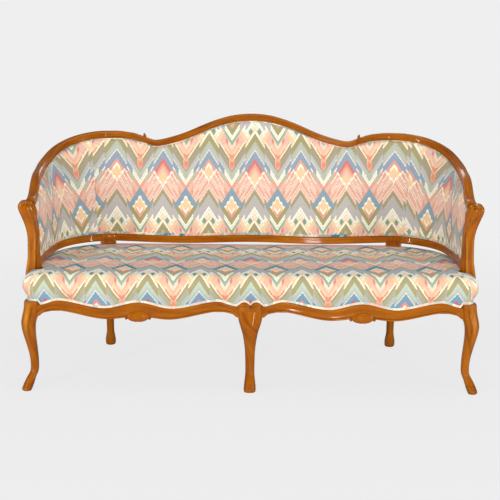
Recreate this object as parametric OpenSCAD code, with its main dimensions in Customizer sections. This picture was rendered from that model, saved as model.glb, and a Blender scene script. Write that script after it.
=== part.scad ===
// A three-seat cabriole sofa: an upholstered seat and a back that sweeps round into
// the arms, held in a carved and polished wood frame on five legs.
// X runs along the sofa, the front faces -Y, Z is up and the feet stand on Z = 0.

/* [Seat frame] */
// Half of the seat's width, at the outer face of a side rail
seat_half_w = 875; // [780:5:960]
// Depth of the seat from the front of a leg to the outer face of the back rail
seat_d = 625; // [590:5:660]
// Height of the top edge of the seat rails
rail_top_z = 410; // [400:1:425]
// Height of the straight lower edge of the side and back rails
rail_low_z = 318; // [305:1:322]
// Thickness of a seat rail
rail_t = 34; // [28:1:40]
// Height where the polished face of the side rails ends and the cover starts
show_z = 361; // [352:1:368]
// Depth of the rebate above the polished face, where the cover is tacked
rebate = 10; // [8:0.5:13]
// Height of the lowest points of the front rail's wavy lower edge
wave_low_z = 292; // [280:1:300]
// Height of the waves in the front rail's lower edge
wave_low_h = 33; // [20:1:40]
// Height of the lowest points of the front rail's wavy upper edge
wave_top_z = 335; // [328:1:342]
// Height of the waves in the front rail's upper edge
wave_top_h = 30; // [15:1:34]
// Width of the bearer between the centre leg and the back rail
bearer_w = 45; // [35:1:60]
// Depth of that bearer
bearer_h = 55; // [40:1:62]

/* [Legs] */
// Width of the square block at the top of a front corner leg
leg_block = 54; // [48:1:58]
// Width of a front leg at its knee
knee_w = 60; // [50:1:66]
// How far a front foot is swept outwards and forwards from the block
foot_sweep = 26; // [15:1:34]
// Width of the top of the centre leg
centre_leg_w = 104; // [90:1:120]
// Width of a back leg just above its foot
back_leg_w = 33; // [28:1:40]
// Distance of a back leg's middle from the plane of the seat's side
stile_in = 253; // [230:1:270]
// Width of the block at the top of a back leg
stile_w = 60; // [48:1:72]

/* [Back and arms] */
// Distance that the inner face of the back frame stands inside the seat rails' outer face
back_inset = 40; // [36:1:48]
// Radius of the back's two round corners in plan
wall_r = 240; // [200:5:260]
// Angle that an arm's plan turns through between its post and the round corner
side_turn = 10; // [6:1:14]
// Outward lean of the arm at its post, in degrees
arm_lean = 3; // [1:0.5:5]
// Backward lean of the back, in degrees
back_lean = 11; // [8:0.5:14]
// Height of the middle of the lower back rail
lower_z = 494; // [490:1:505]
// Height of the lower back rail's polished face
lower_h = 31; // [26:1:34]
// How far the lower back rail dips between its middle and the stiles
lower_wave = 8; // [0:1:9]
// Height of the crest rail's polished face
crest_h = 30; // [26:1:34]
// Thickness of the back frame's rails
frame_t = 36; // [34:1:42]
// Height of the crest rail's top in the middle of the back
crest_z = 1027; // [980:1:1080]
// Height of the crest rail's top in the two dips
dip_z = 912; // [890:1:940]
// Distance of each dip from the middle
dip_x = 420; // [380:5:450]
// Height of the crest rail's top on the two shoulders
hump_z = 949; // [935:1:980]
// Distance of each shoulder's highest place from the middle
hump_x = 595; // [570:5:615]
// Height of the crest rail's top where it meets the arm post
arm_end_z = 750; // [735:1:765]
// Distance of the joint in the crest rail from the middle
crest_joint_x = 455; // [445:1:470]

/* [Arm posts] */
// Distance from the front of the legs to the back face of an arm post
post_back_y = 135; // [125:1:150]
// Depth of an arm post from front to back
post_d = 43; // [38:1:48]
// Width of the post's polished front at its waist
post_w = 38; // [34:1:44]
// How far the knob at the top stands outside the post's foot
knob_out = 38; // [28:1:44]
// Height of the top of the knob
knob_z = 739; // [725:1:745]

/* [Upholstery] */
// Height of the seat's crown in the middle
seat_z = 470; // [467:1:472]
// How much lower the crown lies at the back of the seat than at the front
seat_tilt = 8; // [0:1:12]
// How far the seat's sides bulge out over the polished rails
seat_swell = 12; // [4:1:16]
// Thickness of a cover cloth
cloth_t = 2.4; // [1.6:0.2:3]
// Diameter of the piping cord in its cloth
piping_d = 5; // [4:0.2:5.4]
// How far the stuffed back swells in front of its frame
back_swell = 14; // [8:1:22]
// Width of a webbing strap
strap_w = 50; // [40:1:60]
// Thickness of a webbing strap
strap_t = 1.2; // [0.8:0.1:1.4]
// Outer diameter of a seat spring at its ends
spring_d = 90; // [70:2:100]
// Diameter of a spring's wire
wire_d = 4; // [3:0.2:5]

/* [Hidden] */
$fn = 24;

// Colours
wood_colour = [0.72, 0.39, 0.08];
plain_wood_colour = [0.80, 0.64, 0.42];
cover_colour = [0.88, 0.72, 0.62];
piping_colour = [0.93, 0.86, 0.76];
jute_colour = [0.70, 0.56, 0.36];
hair_colour = [0.35, 0.28, 0.22];
steel_colour = [0.62, 0.63, 0.65];
dust_colour = [0.20, 0.20, 0.21];

// One overrun for all cuts, the gap round a wooden joint and the gap beside soft pieces
over = 1;
fit = 0.2;
soft_gap = 0.3;
// Shortest stretch of rail between two sections
least_step = 1;

// Places in plan
seat_half = seat_half_w;
stile_x = seat_half - stile_in;
side_x = seat_half_w - back_inset;
back_y = seat_d - back_inset;
side_r = wall_r + (back_y - wall_r - post_back_y) / sin(side_turn);
corner_x = side_x - side_r + (side_r - wall_r) * cos(side_turn);
corner_y = back_y - wall_r;
run_side = side_r * side_turn * PI / 180;
run_corner = wall_r * (90 - side_turn) * PI / 180;
run_half = run_side + run_corner + corner_x;
side_steps = 4;
corner_steps = 8;
back_steps = 10;

// Smooth curve through a table of [place, value] pairs, level at both ends
function slope_at(t, i) = i == 0 || i == len(t) - 1 ? 0
    : (t[i + 1][1] - t[i - 1][1]) / (t[i + 1][0] - t[i - 1][0]);
function piece_of(t, x, i = 0) = i >= len(t) - 2 || x < t[i + 1][0] ? i : piece_of(t, x, i + 1);
function through(t, x) =
    let (p = min(max(x, t[0][0]), t[len(t) - 1][0]),
         i = piece_of(t, p),
         w = t[i + 1][0] - t[i][0],
         u = (p - t[i][0]) / w)
    t[i][1] * (2 * pow(u, 3) - 3 * pow(u, 2) + 1)
        + slope_at(t, i) * w * (pow(u, 3) - 2 * pow(u, 2) + u)
        + t[i + 1][1] * (3 * pow(u, 2) - 2 * pow(u, 3))
        + slope_at(t, i + 1) * w * (pow(u, 3) - pow(u, 2));
function reversed(list) = [for (i = [len(list) - 1 : -1 : 0]) list[i]];
function mirrored(list) = [for (p = list) len(p) > 2 ? [-p[0], p[1], p[2]] : [-p[0], p[1]]];

// The back's line in plan, from the left arm post (0) over the middle (run_half) to the right.
// turn_at gives the direction that the wall faces away from the sitter.
function turn_at(s) = s < run_side ? s / side_r * 180 / PI
    : s < run_side + run_corner ? side_turn + (s - run_side) / wall_r * 180 / PI : 90;
function left_point(s, out) =
    let (a = turn_at(s), n = [-cos(a), sin(a)])
    s < run_side ? [-corner_x + (side_r - wall_r) * cos(side_turn), post_back_y] + n * (side_r + out)
    : s < run_side + run_corner ? [-corner_x, corner_y] + n * (wall_r + out)
    : [s - run_half, back_y + out];
function from_front(s) = min(s, 2 * run_half - s);
function lean_at(s) = through([[0, arm_lean], [run_side + run_corner * 0.7, back_lean]], from_front(s));
// The line is laid out in straight steps, and every piece of the back lies along them
function step_at(q) =
    q < run_side ? let (w = run_side / side_steps) [floor(q / w) * w, w]
    : q < run_side + run_corner ?
        let (w = run_corner / corner_steps) [run_side + floor((q - run_side) / w) * w, w]
    : let (w = corner_x / back_steps, a = run_side + run_corner) [a + floor((q - a) / w) * w, w];
function on_line(s, z, out, leaning) =
    let (q = from_front(s), step = step_at(q), t = (q - step[0]) / step[1],
         rise = leaning * (z - lower_z),
         a = left_point(step[0], out + rise * tan(lean_at(step[0]))),
         b = left_point(step[0] + step[1], out + rise * tan(lean_at(step[0] + step[1]))),
         p = a * (1 - t) + b * t)
    [s > run_half ? -p[0] : p[0], p[1], z];
function wall(s, z, out) = on_line(s, z, out, 1);
function upright(s, z, out) = on_line(s, z, out, 0);
function plan(s, out) = let (p = upright(s, 0, out)) [p[0], p[1]];
function run_at_x(x) = x <= corner_x ? run_half - x
    : run_side + wall_r * (acos((x - corner_x) / wall_r) - side_turn) * PI / 180;
left_stations = concat(
    [for (i = [0 : side_steps - 1]) run_side * i / side_steps],
    [for (i = [0 : corner_steps - 1]) run_side + run_corner * i / corner_steps],
    [for (i = [0 : back_steps]) run_side + run_corner + corner_x * i / back_steps]);
stations = concat(left_stations,
    [for (s = reversed(left_stations)) if (s < run_half - least_step) 2 * run_half - s]);
function between(a, b) =
    concat([a], [for (s = stations) if (s > a + least_step && s < b - least_step) s], [b]);

// Heights along the back's line
stile_a = run_at_x(stile_x) - stile_w / 2;
stile_b = run_at_x(stile_x) + stile_w / 2;
stile_mid = run_at_x(stile_x);
hump_s = run_half - hump_x;
dip_s = run_half - dip_x;
wing_shares = [[0, 0], [0.24, 0.335], [0.42, 0.45], [0.53, 0.57], [0.66, 0.77], [0.79, 0.92], [0.9, 0.99],
    [1, 1]];
fall_shares = [[0, 0], [0.45, 0.22], [0.72, 0.62], [1, 1]];
rise_shares = [[0, 0], [0.18, 0.13], [0.34, 0.33], [0.5, 0.58], [0.66, 0.8], [0.82, 0.95], [1, 1]];
lower_wave_shares = [[0, 0.15], [0.48, 1], [0.95, 0], [1, 0]];
// Each height is taken at the ends of a straight step, and lies on a straight line between them
function stepped(s, height) =
    let (q = from_front(s), step = step_at(q), t = (q - step[0]) / step[1])
    height(step[0]) * (1 - t) + height(step[0] + step[1]) * t;
function crest_line(q) =
    q < hump_s ? arm_end_z + (hump_z - arm_end_z) * through(wing_shares, q / hump_s)
    : q < dip_s ? hump_z + (dip_z - hump_z) * through(fall_shares, (q - hump_s) / (dip_s - hump_s))
    : dip_z + (crest_z - dip_z) * through(rise_shares, (q - dip_s) / (run_half - dip_s));
crest_thin_share = 0.16;
function face_line(q) = crest_h * (1 - crest_thin_share * exp(-pow((q - dip_s) / (dip_x / 4), 2)));
function lower_line(q) = lower_z - lower_wave * through(lower_wave_shares, (run_half - q) / stile_x);
function crest_top(s) = stepped(s, function(q) crest_line(q));
function crest_face(s) = stepped(s, function(q) face_line(q));
function crest_low(s) = crest_top(s) - crest_face(s);
function lower_mid(s) = stepped(s, function(q) lower_line(q));
function lower_top(s) = lower_mid(s) + lower_h / 2;

// Layers of the back, measured outwards from the frame's inner face
tongue = 12;
webbing_out = frame_t * 0.36;
hessian_t = 1.2;
strap_gap = 1.8;
strap_out = webbing_out - soft_gap - strap_t;
hessian_out = strap_out - strap_gap - hessian_t;
stuffing_out = hessian_out - soft_gap;
tongue_back = frame_t - cloth_t - 2 * soft_gap;

// Heights in the seat
hessian_rise = 20;
spring_low_z = rail_low_z + soft_gap;
spring_top_z = rail_top_z + hessian_rise * 0.6;
batten_w = 24;
batten_h = 26;
front_set = 6;

// Solid through a row of rings with equal numbers of points; the first and last are closed.
// The faces are turned over where the rings run the other way round.
function volume_of(points, faces) =
    [for (f = faces, i = [1 : len(f) - 2]) points[f[0]] * cross(points[f[i]], points[f[i + 1]])]
    * [for (f = faces, i = [1 : len(f) - 2]) 1];
function faces_between(points, n, m) = concat(
    [[for (i = [0 : n - 1]) i]],
    [[for (i = [n - 1 : -1 : 0]) (m - 1) * n + i]],
    [for (j = [0 : m - 2], i = [0 : n - 1])
        let (a = j * n + i, d = j * n + (i + 1) % n)
        each points[d][2] < points[a][2] ? [[a, a + n, d], [a + n, d + n, d]]
            : [[a, a + n, d + n], [a, d + n, d]]]);
module lofted(rings) {
    points = [for (r = rings) each r];
    faces = faces_between(points, len(rings[0]), len(rings));
    outwards = volume_of(points, faces) < 0;
    polyhedron(points = points, faces = outwards ? faces : [for (f = faces) reversed(f)], convexity = 10);
}

// Solid along the back's line between two places, with a section of [out, height] points
module wall_piece(a, b, section) {
    lofted([for (s = between(a, b)) [for (q = section) wall(s, q[1], q[0])]]);
}

// Moves the whole object so that its middle lies over the origin
front_reach = leg_block / 2 - foot_sweep - knee_w * 0.64 / 2;
back_reach = wall(run_half, crest_z - crest_h * 0.3, frame_t)[1];
module placed() {
    translate([0, -(front_reach + back_reach) / 2, 0])
        children();
}

// Rounded-square ring: squareness 2 is an ellipse
leg_sides = 16;
function leg_ring(x, y, z, half_w, half_d, squareness) =
    [for (i = [0 : leg_sides - 1])
        let (a = 360 * (i + 0.5) / leg_sides, c = cos(a), s = sin(a))
        [x + half_w * sign(c) * pow(abs(c), 2 / squareness),
         y + half_d * sign(s) * pow(abs(s), 2 / squareness), z]];

// Front legs: share of height, share of the sweep outwards, share of the knee's width, share of
// the sweep forwards
cabriole_shares = [[0, 1, 0.56, 1], [0.015, 1.03, 0.64, 1.02], [0.055, 0.84, 0.69, 0.8],
    [0.13, 0.46, 0.6, 0.3], [0.19, 0.08, 0.54, -0.19], [0.25, -0.02, 0.54, -0.31],
    [0.36, 0.02, 0.57, -0.27], [0.48, 0.2, 0.66, -0.04], [0.6, 0.42, 0.78, 0.23],
    [0.68, 0.53, 0.87, 0.36], [0.76, 0.52, 0.95, 0.38], [0.83, 0.32, 1, 0.18],
    [0.92, 0.1, 0.95, 0.03], [1, 0, 0.94, 0]];
// Width of the centre leg at the same heights, as a share of its top
centre_width_shares = [0.42, 0.45, 0.46, 0.39, 0.35, 0.35, 0.365, 0.4, 0.5, 0.6, 0.76, 0.89, 0.95, 0.95];
block_squareness = 5;
ankle_squareness = 2.3;
function squareness_at(share) = ankle_squareness + (block_squareness - ankle_squareness) * pow(share, 3);
mortise_w = 12;
mortise_h = 40;
mortise_l = 26;
mortise_drop = 14;
mortise_z = rail_top_z - mortise_drop;
leg_mid = leg_block / 2;
leg_proud = 5;
leg_x = seat_half + leg_proud - leg_mid;
leg_inner_x = leg_x - leg_mid;
rail_y = front_set + rebate + (rail_t - rebate) / 2;
centre_half = centre_leg_w * 0.48;

// Tenon of a rail lying along X: starts inside the rail and ends mortise_l beyond its end
module tenon_x(from_x, to_x, y, grow = 0) {
    translate([min(from_x, to_x) - grow, y - mortise_w / 2 - grow, mortise_z - mortise_h - grow])
        cube([abs(to_x - from_x) + 2 * grow, mortise_w + 2 * grow, mortise_h + 2 * grow]);
}
module tenon_y(x, from_y, to_y, grow = 0) {
    translate([x - mortise_w / 2 - grow, from_y - grow, mortise_z - mortise_h - grow])
        cube([mortise_w + 2 * grow, to_y - from_y + 2 * grow, mortise_h + 2 * grow]);
}

side_rail_x = seat_half - rebate - (rail_t - rebate) / 2;
front_tenon_l = leg_block * 0.36;
side_tenon_l = leg_block * 0.4;
module corner_leg() {
    color(wood_colour)
    difference() {
        union() {
            lofted([for (q = cabriole_shares)
                leg_ring(-leg_x - foot_sweep * q[1], leg_mid - foot_sweep * q[3], show_z * q[0],
                    knee_w * q[2] / 2, knee_w * q[2] / 2, squareness_at(q[0]))]);
            translate([0, 0, show_z - leg_mid])
                linear_extrude(rail_top_z - show_z + leg_mid)
                    polygon([[-leg_inner_x, front_set + rebate], [-leg_inner_x, leg_block],
                             [-seat_half + rebate, leg_block],
                             [-seat_half + rebate, front_set + rebate + corner_round * 0.6],
                             [-seat_half + rebate + corner_round * 0.6, front_set + rebate]]);
        }
        tenon_x(-leg_inner_x - front_tenon_l, -leg_inner_x + over, rail_y, fit);
        tenon_y(-side_rail_x, leg_block - side_tenon_l, leg_block + over, fit);
    }
}
module front_leg_left() {
    placed() corner_leg();
}
module front_leg_right() {
    placed() mirror([1, 0, 0]) corner_leg();
}
lobe_r = centre_leg_w / 4;
lobe_rise = 2;
lobe_top_z = show_z + lobe_rise;
module front_leg_centre() {
    placed()
    color(wood_colour)
    difference() {
        union() {
            lofted([for (i = [0 : len(cabriole_shares) - 1])
                let (q = cabriole_shares[i])
                leg_ring(0, leg_mid - foot_sweep * q[3], (show_z - lobe_r / 3) * q[0],
                    centre_leg_w * centre_width_shares[i] / 2, knee_w * q[2] / 2, squareness_at(q[0]))]);
            for (side = [-1, 1])
                translate([side * (centre_half - lobe_r), front_set + rebate, lobe_top_z - lobe_r])
                    rotate([90, 0, 0])
                        cylinder(r = lobe_r, h = rebate + front_set / 2);
            translate([-centre_half, front_set + rebate, show_z - leg_block / 2])
                cube([2 * centre_half, leg_block - front_set - rebate,
                    rail_top_z - show_z + leg_block / 2]);
        }
        for (side = [-1, 1])
            tenon_x(side * (centre_half + over), side * (centre_half - front_tenon_l), rail_y, fit);
        bearer_tenon(leg_block - side_tenon_l, leg_block + over, fit);
    }
}

// Back legs: share of height up to the block, width and depth as shares of the ankle
back_leg_shares = [[0, 1.2], [0.02, 1.34], [0.08, 1.36], [0.14, 1.2], [0.2, 1.02], [0.3, 1],
    [0.6, 1.12], [0.85, 1.3], [1, 1.36]];
block_drop = 18;
block_low_z = rail_low_z - block_drop;
block_proud = 4;
block_front = -block_proud;
module back_stile() {
    foot = upright(stile_mid, 0, back_inset - rail_t / 2);
    color(wood_colour)
    difference() {
        union() {
            lofted([for (q = back_leg_shares)
                leg_ring(foot[0], foot[1], (block_low_z + over) * q[0],
                    back_leg_w * q[1] / 2, back_leg_w * q[1] / 2, 2 + 2 * pow(q[0], 3))]);
            stile_block();
            upper_stile();
        }
        side_end_tenon(fit);
        back_end_tenon(fit);
        lower_arm_tenon(fit);
        lower_back_tenon(fit);
    }
}
module stile_block() {
    lofted([for (s = between(stile_a, stile_b))
        [upright(s, block_low_z, block_front), upright(s, lower_top(s), block_front),
         upright(s, lower_top(s), back_inset), upright(s, block_low_z, back_inset)]]);
}
upper_stile_w = 50;
stile_tenon_h = 16;
stile_tenon_w = 24;
module wall_block(a, b, out_a, out_b, z_low, z_high) {
    wall_piece(a, b, [[out_a, z_low], [out_a, z_high], [out_b, z_high], [out_b, z_low]]);
}
module upper_stile() {
    lofted([for (s = between(stile_mid - upper_stile_w / 2, stile_mid + upper_stile_w / 2))
        [wall(s, lower_mid(s), webbing_out), wall(s, crest_low(s) - tongue - 2 * fit, webbing_out),
         wall(s, crest_low(s) - tongue - 2 * fit, tongue_back), wall(s, lower_mid(s), tongue_back)]]);
    stile_tenon(0);
}
module stile_tenon(grow) {
    mid_out = (webbing_out + tongue_back) / 2;
    z = crest_low(stile_mid) - tongue;
    wall_block(stile_mid - stile_tenon_w / 2 - grow, stile_mid + stile_tenon_w / 2 + grow,
        mid_out - mortise_w / 3 - grow, mid_out + mortise_w / 3 + grow,
        z - stile_tenon_h / 2, z + stile_tenon_h + grow);
}
module back_leg_left() {
    placed() back_stile();
}
module back_leg_right() {
    placed() mirror([1, 0, 0]) back_stile();
}

// Tenons of the seat rails and the lower back rails in the back legs' blocks
stile_tenon_l = stile_w * 0.3;
lower_tenon_h = lower_h * 0.5;
seat_rail_mid_out = back_inset - rebate - (rail_t - rebate) / 2;
module bent_tenon(from_s, to_s, mid_out, z_low, z_high, grow) {
    wall_slab(from_s - grow, to_s + grow, mid_out - mortise_w / 2 - grow, mid_out + mortise_w / 2 + grow,
        z_low - grow, z_high + grow);
}
module wall_slab(from_s, to_s, out_a, out_b, z_low, z_high) {
    lofted([for (s = [from_s, to_s])
        [upright(s, z_low, out_a), upright(s, z_high, out_a), upright(s, z_high, out_b),
         upright(s, z_low, out_b)]]);
}
module side_end_tenon(grow) {
    bent_tenon(stile_a - stile_tenon_l / 2, stile_a + stile_tenon_l, seat_rail_mid_out,
        mortise_z - mortise_h, mortise_z, grow);
}
module back_end_tenon(grow) {
    bent_tenon(stile_b - stile_tenon_l, stile_b + stile_tenon_l / 2, seat_rail_mid_out,
        mortise_z - mortise_h, mortise_z, grow);
}
module lower_arm_tenon(grow) {
    bent_tenon(stile_a - stile_tenon_l / 2, stile_a + stile_tenon_l, frame_t / 2,
        lower_z - lower_tenon_h / 2, lower_z + lower_tenon_h / 2, grow);
}
module lower_back_tenon(grow) {
    bent_tenon(stile_b - stile_tenon_l, stile_b + stile_tenon_l / 2, frame_t / 2,
        lower_z - lower_tenon_h / 2, lower_z + lower_tenon_h / 2, grow);
}

// Front rail: heights of its edges from the middle of a bay to either end
bay_mid_x = (leg_inner_x + centre_half) / 2;
bay_half = (leg_inner_x - centre_half) / 2;
wave_top_shares = [[0, 0.8], [0.345, 0], [0.79, 1], [1, 0.38]];
wave_low_shares = [[0, 0.32], [0.345, 0], [0.79, 1], [0.95, 0.72], [1, 0.3]];
function bay_share(x) = abs(abs(x) - bay_mid_x) / bay_half;
function front_top(x) = wave_top_z + wave_top_h * through(wave_top_shares, bay_share(x));
function front_low(x) = wave_low_z + wave_low_h * through(wave_low_shares, bay_share(x));
front_steps = 17;
bead = 6;
quirk = 1.5;
// Places along a bay that the rail, the cover and the piping share
bay_xs = concat([centre_half, centre_half + bead],
    [for (i = [1 : front_steps - 1]) centre_half + (leg_inner_x - centre_half) * i / front_steps],
    [leg_inner_x - bead / 2]);
module front_rail() {
    color(wood_colour)
    union() {
        lofted([for (place = concat(bay_xs, [leg_inner_x]))
            let (x = -place, low = front_low(x), top = front_top(x))
            [[x, front_set + quirk, low], [x, front_set, low + bead * 0.3],
             [x, front_set, low + bead * 0.8], [x, front_set + quirk, low + bead],
             [x, front_set + quirk * 1.4, (low + top) / 2], [x, front_set + quirk * 2, top - bead / 2],
             [x, front_set + bead, top],
             [x, front_set + rebate, top], [x, front_set + rebate, rail_top_z],
             [x, front_set + rail_t, rail_top_z], [x, front_set + rail_t, low]]]);
        tenon_x(-leg_inner_x - front_tenon_l, -leg_inner_x + mortise_l, rail_y);
        tenon_x(-centre_half + front_tenon_l, -centre_half - mortise_l, rail_y);
    }
}
module front_rail_left() {
    placed()
    difference() {
        front_rail();
        screw_holes();
    }
}
module front_rail_right() {
    placed() mirror([1, 0, 0])
    difference() {
        front_rail();
        screw_holes();
    }
}

// Carved shell glued under the middle of each bay: a lobed fan between two small scrolls
shell_half_w = 42;
shell_h = 38;
shell_t = 10;
shell_drop_share = 0.42;
shell_low_z = front_low(bay_mid_x) - shell_h * shell_drop_share;
scroll_r = 6;
lobes = 9;
shell_rings = 2;
shell_points = 36;
module shell_carving(x) {
    mid_z = shell_low_z + shell_h / 2;
    translate([x, front_set, mid_z])
        lofted([for (k = [0 : shell_rings])
            let (share = cos(90 * k / (shell_rings + 0.5)), deep = sin(90 * k / (shell_rings + 0.5)))
            [for (i = [0 : shell_points - 1])
                let (a = -360 * i / shell_points, r = share * (1 + 0.05 * cos(a * lobes)))
                [shell_half_w * r * cos(a), -shell_t * deep, shell_h / 2 * r * sin(a)]]]);
    for (side = [-1, 1])
        translate([x + side * (shell_half_w + scroll_r * 0.9), front_set, mid_z - shell_h / 4])
            rotate([90, 0, 0])
                cylinder(r = scroll_r, h = shell_t * 0.6);
}
module rail_shells() {
    placed()
    color(wood_colour)
    for (side = [-1, 1])
        shell_carving(side * bay_mid_x);
}

// Side rail: straight beside the post, then round with the back's line
front_side_y = leg_block;
function rail_ring(at) =
    [for (q = [[quirk, rail_low_z], [0, rail_low_z + quirk], [0, show_z - quirk], [quirk, show_z],
               [rebate, show_z], [rebate, rail_top_z], [rail_t, rail_top_z], [rail_t, rail_low_z]])
        at(q)];
module side_rail() {
    front_ring = rail_ring(function(q) [-seat_half + q[0], front_side_y, q[1]]);
    color(wood_colour)
    difference() {
        union() {
            lofted(concat([front_ring],
                [for (s = between(0, stile_a))
                    rail_ring(function(q) upright(s, q[1], back_inset - q[0]))]));
            tenon_y(-side_rail_x, front_side_y - side_tenon_l, front_side_y + mortise_l);
            side_end_tenon(0);
        }
        post_tenon(fit);
        screw_holes();
    }
}
module side_rail_left() {
    placed() side_rail();
}
module side_rail_right() {
    placed() mirror([1, 0, 0]) side_rail();
}
module back_seat_rail() {
    placed()
    color(plain_wood_colour)
    difference() {
        union() {
            lofted([for (s = between(stile_b, 2 * run_half - stile_b))
                rail_ring(function(q) upright(s, q[1], back_inset - q[0]))]);
            for (side = [0, 1])
                mirror([side, 0, 0])
                    back_end_tenon(0);
        }
        bearer_tenon(seat_d - rail_t - over, seat_d - rail_t + side_tenon_l, fit);
    }
}

// Bearer along Y in the middle of the seat
bearer_drop = 12;
bearer_z = rail_top_z - bearer_drop;
module bearer_tenon(from_y, to_y, grow) {
    translate([-bearer_w * 0.3 - grow, from_y - grow, bearer_z - bearer_h * 0.8 - grow])
        cube([bearer_w * 0.6 + 2 * grow, to_y - from_y + 2 * grow, bearer_h * 0.6 + 2 * grow]);
}
module centre_bearer() {
    placed()
    color(plain_wood_colour)
    union() {
        translate([-bearer_w / 2, leg_block, bearer_z - bearer_h])
            cube([bearer_w, seat_d - rail_t - leg_block, bearer_h]);
        bearer_tenon(leg_block - side_tenon_l, seat_d - rail_t + side_tenon_l, 0);
    }
}

// Battens inside the front rails, for the webbing
module front_battens() {
    placed()
    color(plain_wood_colour)
    for (side = [-1, 1])
        translate([side * bay_mid_x - bay_half + corner_block_l * (side < 0 ? 1 : 0),
                   front_set + rail_t, rail_low_z])
            cube([2 * bay_half - corner_block_l, batten_w, batten_h]);
}

// Glued and screwed blocks in the front corners of the seat frame
corner_block_l = 62;
corner_block_h = 50;
screw_r = 2.2;
screw_l = 46;
screw_head_r = 4.5;
screw_z = rail_top_z - corner_block_h;
block_corner_x = -leg_inner_x;
block_corner_y = leg_block;
module corner_block() {
    inner_x = -seat_half + rail_t;
    inner_y = front_set + rail_t;
    translate([0, 0, rail_top_z - corner_block_h - corner_block_h / 2])
        linear_extrude(corner_block_h)
            polygon([[block_corner_x + corner_block_l, inner_y],
                     [block_corner_x, inner_y], [block_corner_x, block_corner_y],
                     [inner_x, block_corner_y], [inner_x, block_corner_y + corner_block_l * 0.75]]);
}
module corner_blocks() {
    placed()
    color(plain_wood_colour)
    for (side = [0, 1])
        mirror([side, 0, 0])
            difference() {
                corner_block();
                screw_holes();
            }
}
screw_front_x = block_corner_x + corner_block_l * 0.3;
screw_side_y = block_corner_y + corner_block_l * 0.25;
screw_head_y = front_set + rail_t + corner_block_l * 0.5;
// The two screws: one into the front rail, one into the side rail
module screws(grow) {
    translate([screw_front_x, screw_head_y, screw_z])
        rotate([90, 0, 0]) {
            cylinder(r = screw_r + grow, h = screw_l + grow);
            translate([0, 0, -grow])
                cylinder(r = screw_head_r + grow, h = screw_r + grow);
        }
    translate([-seat_half + rail_t + corner_block_l * 0.52, screw_side_y, screw_z])
        rotate([0, -90, 0]) {
            cylinder(r = screw_r + grow, h = screw_l + grow);
            translate([0, 0, -grow])
                cylinder(r = screw_head_r + grow, h = screw_r + grow);
        }
}
module screw_holes() {
    screws(fit);
    translate([screw_front_x, screw_head_y + corner_block_l, screw_z])
        rotate([90, 0, 0])
            cylinder(r = screw_head_r + fit, h = corner_block_l);
    translate([-seat_half + rail_t + corner_block_l * 1.52, screw_side_y, screw_z])
        rotate([0, -90, 0])
            cylinder(r = screw_head_r + fit, h = corner_block_l);
}
module corner_screws() {
    placed()
    color(steel_colour)
    for (side = [0, 1])
        mirror([side, 0, 0])
            screws(0);
}

// Arm post: share of height, outer face and knob's share, width share, forward share
post_shares = [[0, 0.3, 0.95, 0], [0.13, 0.34, 0.98, 0], [0.22, 0.42, 1.16, 0.04], [0.3, 0.3, 1.12, 0.02],
    [0.4, 0.14, 1, 0], [0.52, 0.1, 0.96, 0], [0.64, 0.12, 0.98, 0], [0.74, 0.3, 1.08, 0.1],
    [0.84, 0.64, 1.24, 0.3], [0.91, 0.9, 1.26, 0.42], [0.96, 0.96, 1.14, 0.36], [0.99, 0.85, 0.9, 0.2],
    [1, 0.74, 0.66, 0.1]];
flute = 4;
function post_ring(q) =
    let (z = show_z + (knob_z - show_z) * q[0],
         outer = -seat_half + knob_out * 0.02 - knob_out * (q[1] - 0.02),
         inner = outer + post_w * q[2],
         front = post_back_y - post_d - knob_out / 3 * q[3],
         close = max(0, (q[0] - 0.95) * 10),
         back_in = max(inner + flute, min(-side_x - (z - lower_z) * tan(arm_lean), inner + flute * 3))
             - flute * 2 * close)
    [[outer + flute / 2, post_back_y, z], [outer, post_back_y - flute * 2, z],
     [outer, front + post_d * 0.36, z], [outer + flute * 0.6, front + flute * 1.6, z],
     [outer + flute * 2, front + flute * 0.4, z], [(outer + inner) / 2, front, z],
     [inner - flute * 1.6, front + flute * 0.5, z], [inner - flute * 0.4, front + flute * 1.8, z],
     [inner, front + post_d * 0.34, z], [(inner + back_in) / 2, front + post_d * 0.48, z],
     [back_in, post_back_y - post_d * 0.3, z], [back_in, post_back_y, z]];
post_mid_y = post_back_y - post_d / 2;
post_tenon_w = 12;
post_tenon_d = post_d * 0.6;
post_tenon_h = 26;
module post_tenon(grow) {
    translate([-side_rail_x - post_tenon_w / 2 - grow, post_mid_y - post_tenon_d / 2 - grow,
               rail_top_z - post_tenon_h - grow])
        cube([post_tenon_w + 2 * grow, post_tenon_d + 2 * grow, post_tenon_h + over + 2 * grow]);
}
module arm_post() {
    color(wood_colour)
    difference() {
        union() {
            difference() {
                lofted(reversed([for (q = post_shares) reversed(post_ring(q))]));
                translate([-seat_half + rebate - fit, post_mid_y - post_d, show_z - over])
                    cube([seat_half, 2 * post_d, rail_top_z - show_z + over]);
            }
            post_tenon(0);
        }
        post_dowels(fit / 2);
    }
}
module arm_post_left() {
    placed() arm_post();
}
module arm_post_right() {
    placed() mirror([1, 0, 0]) arm_post();
}

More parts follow.
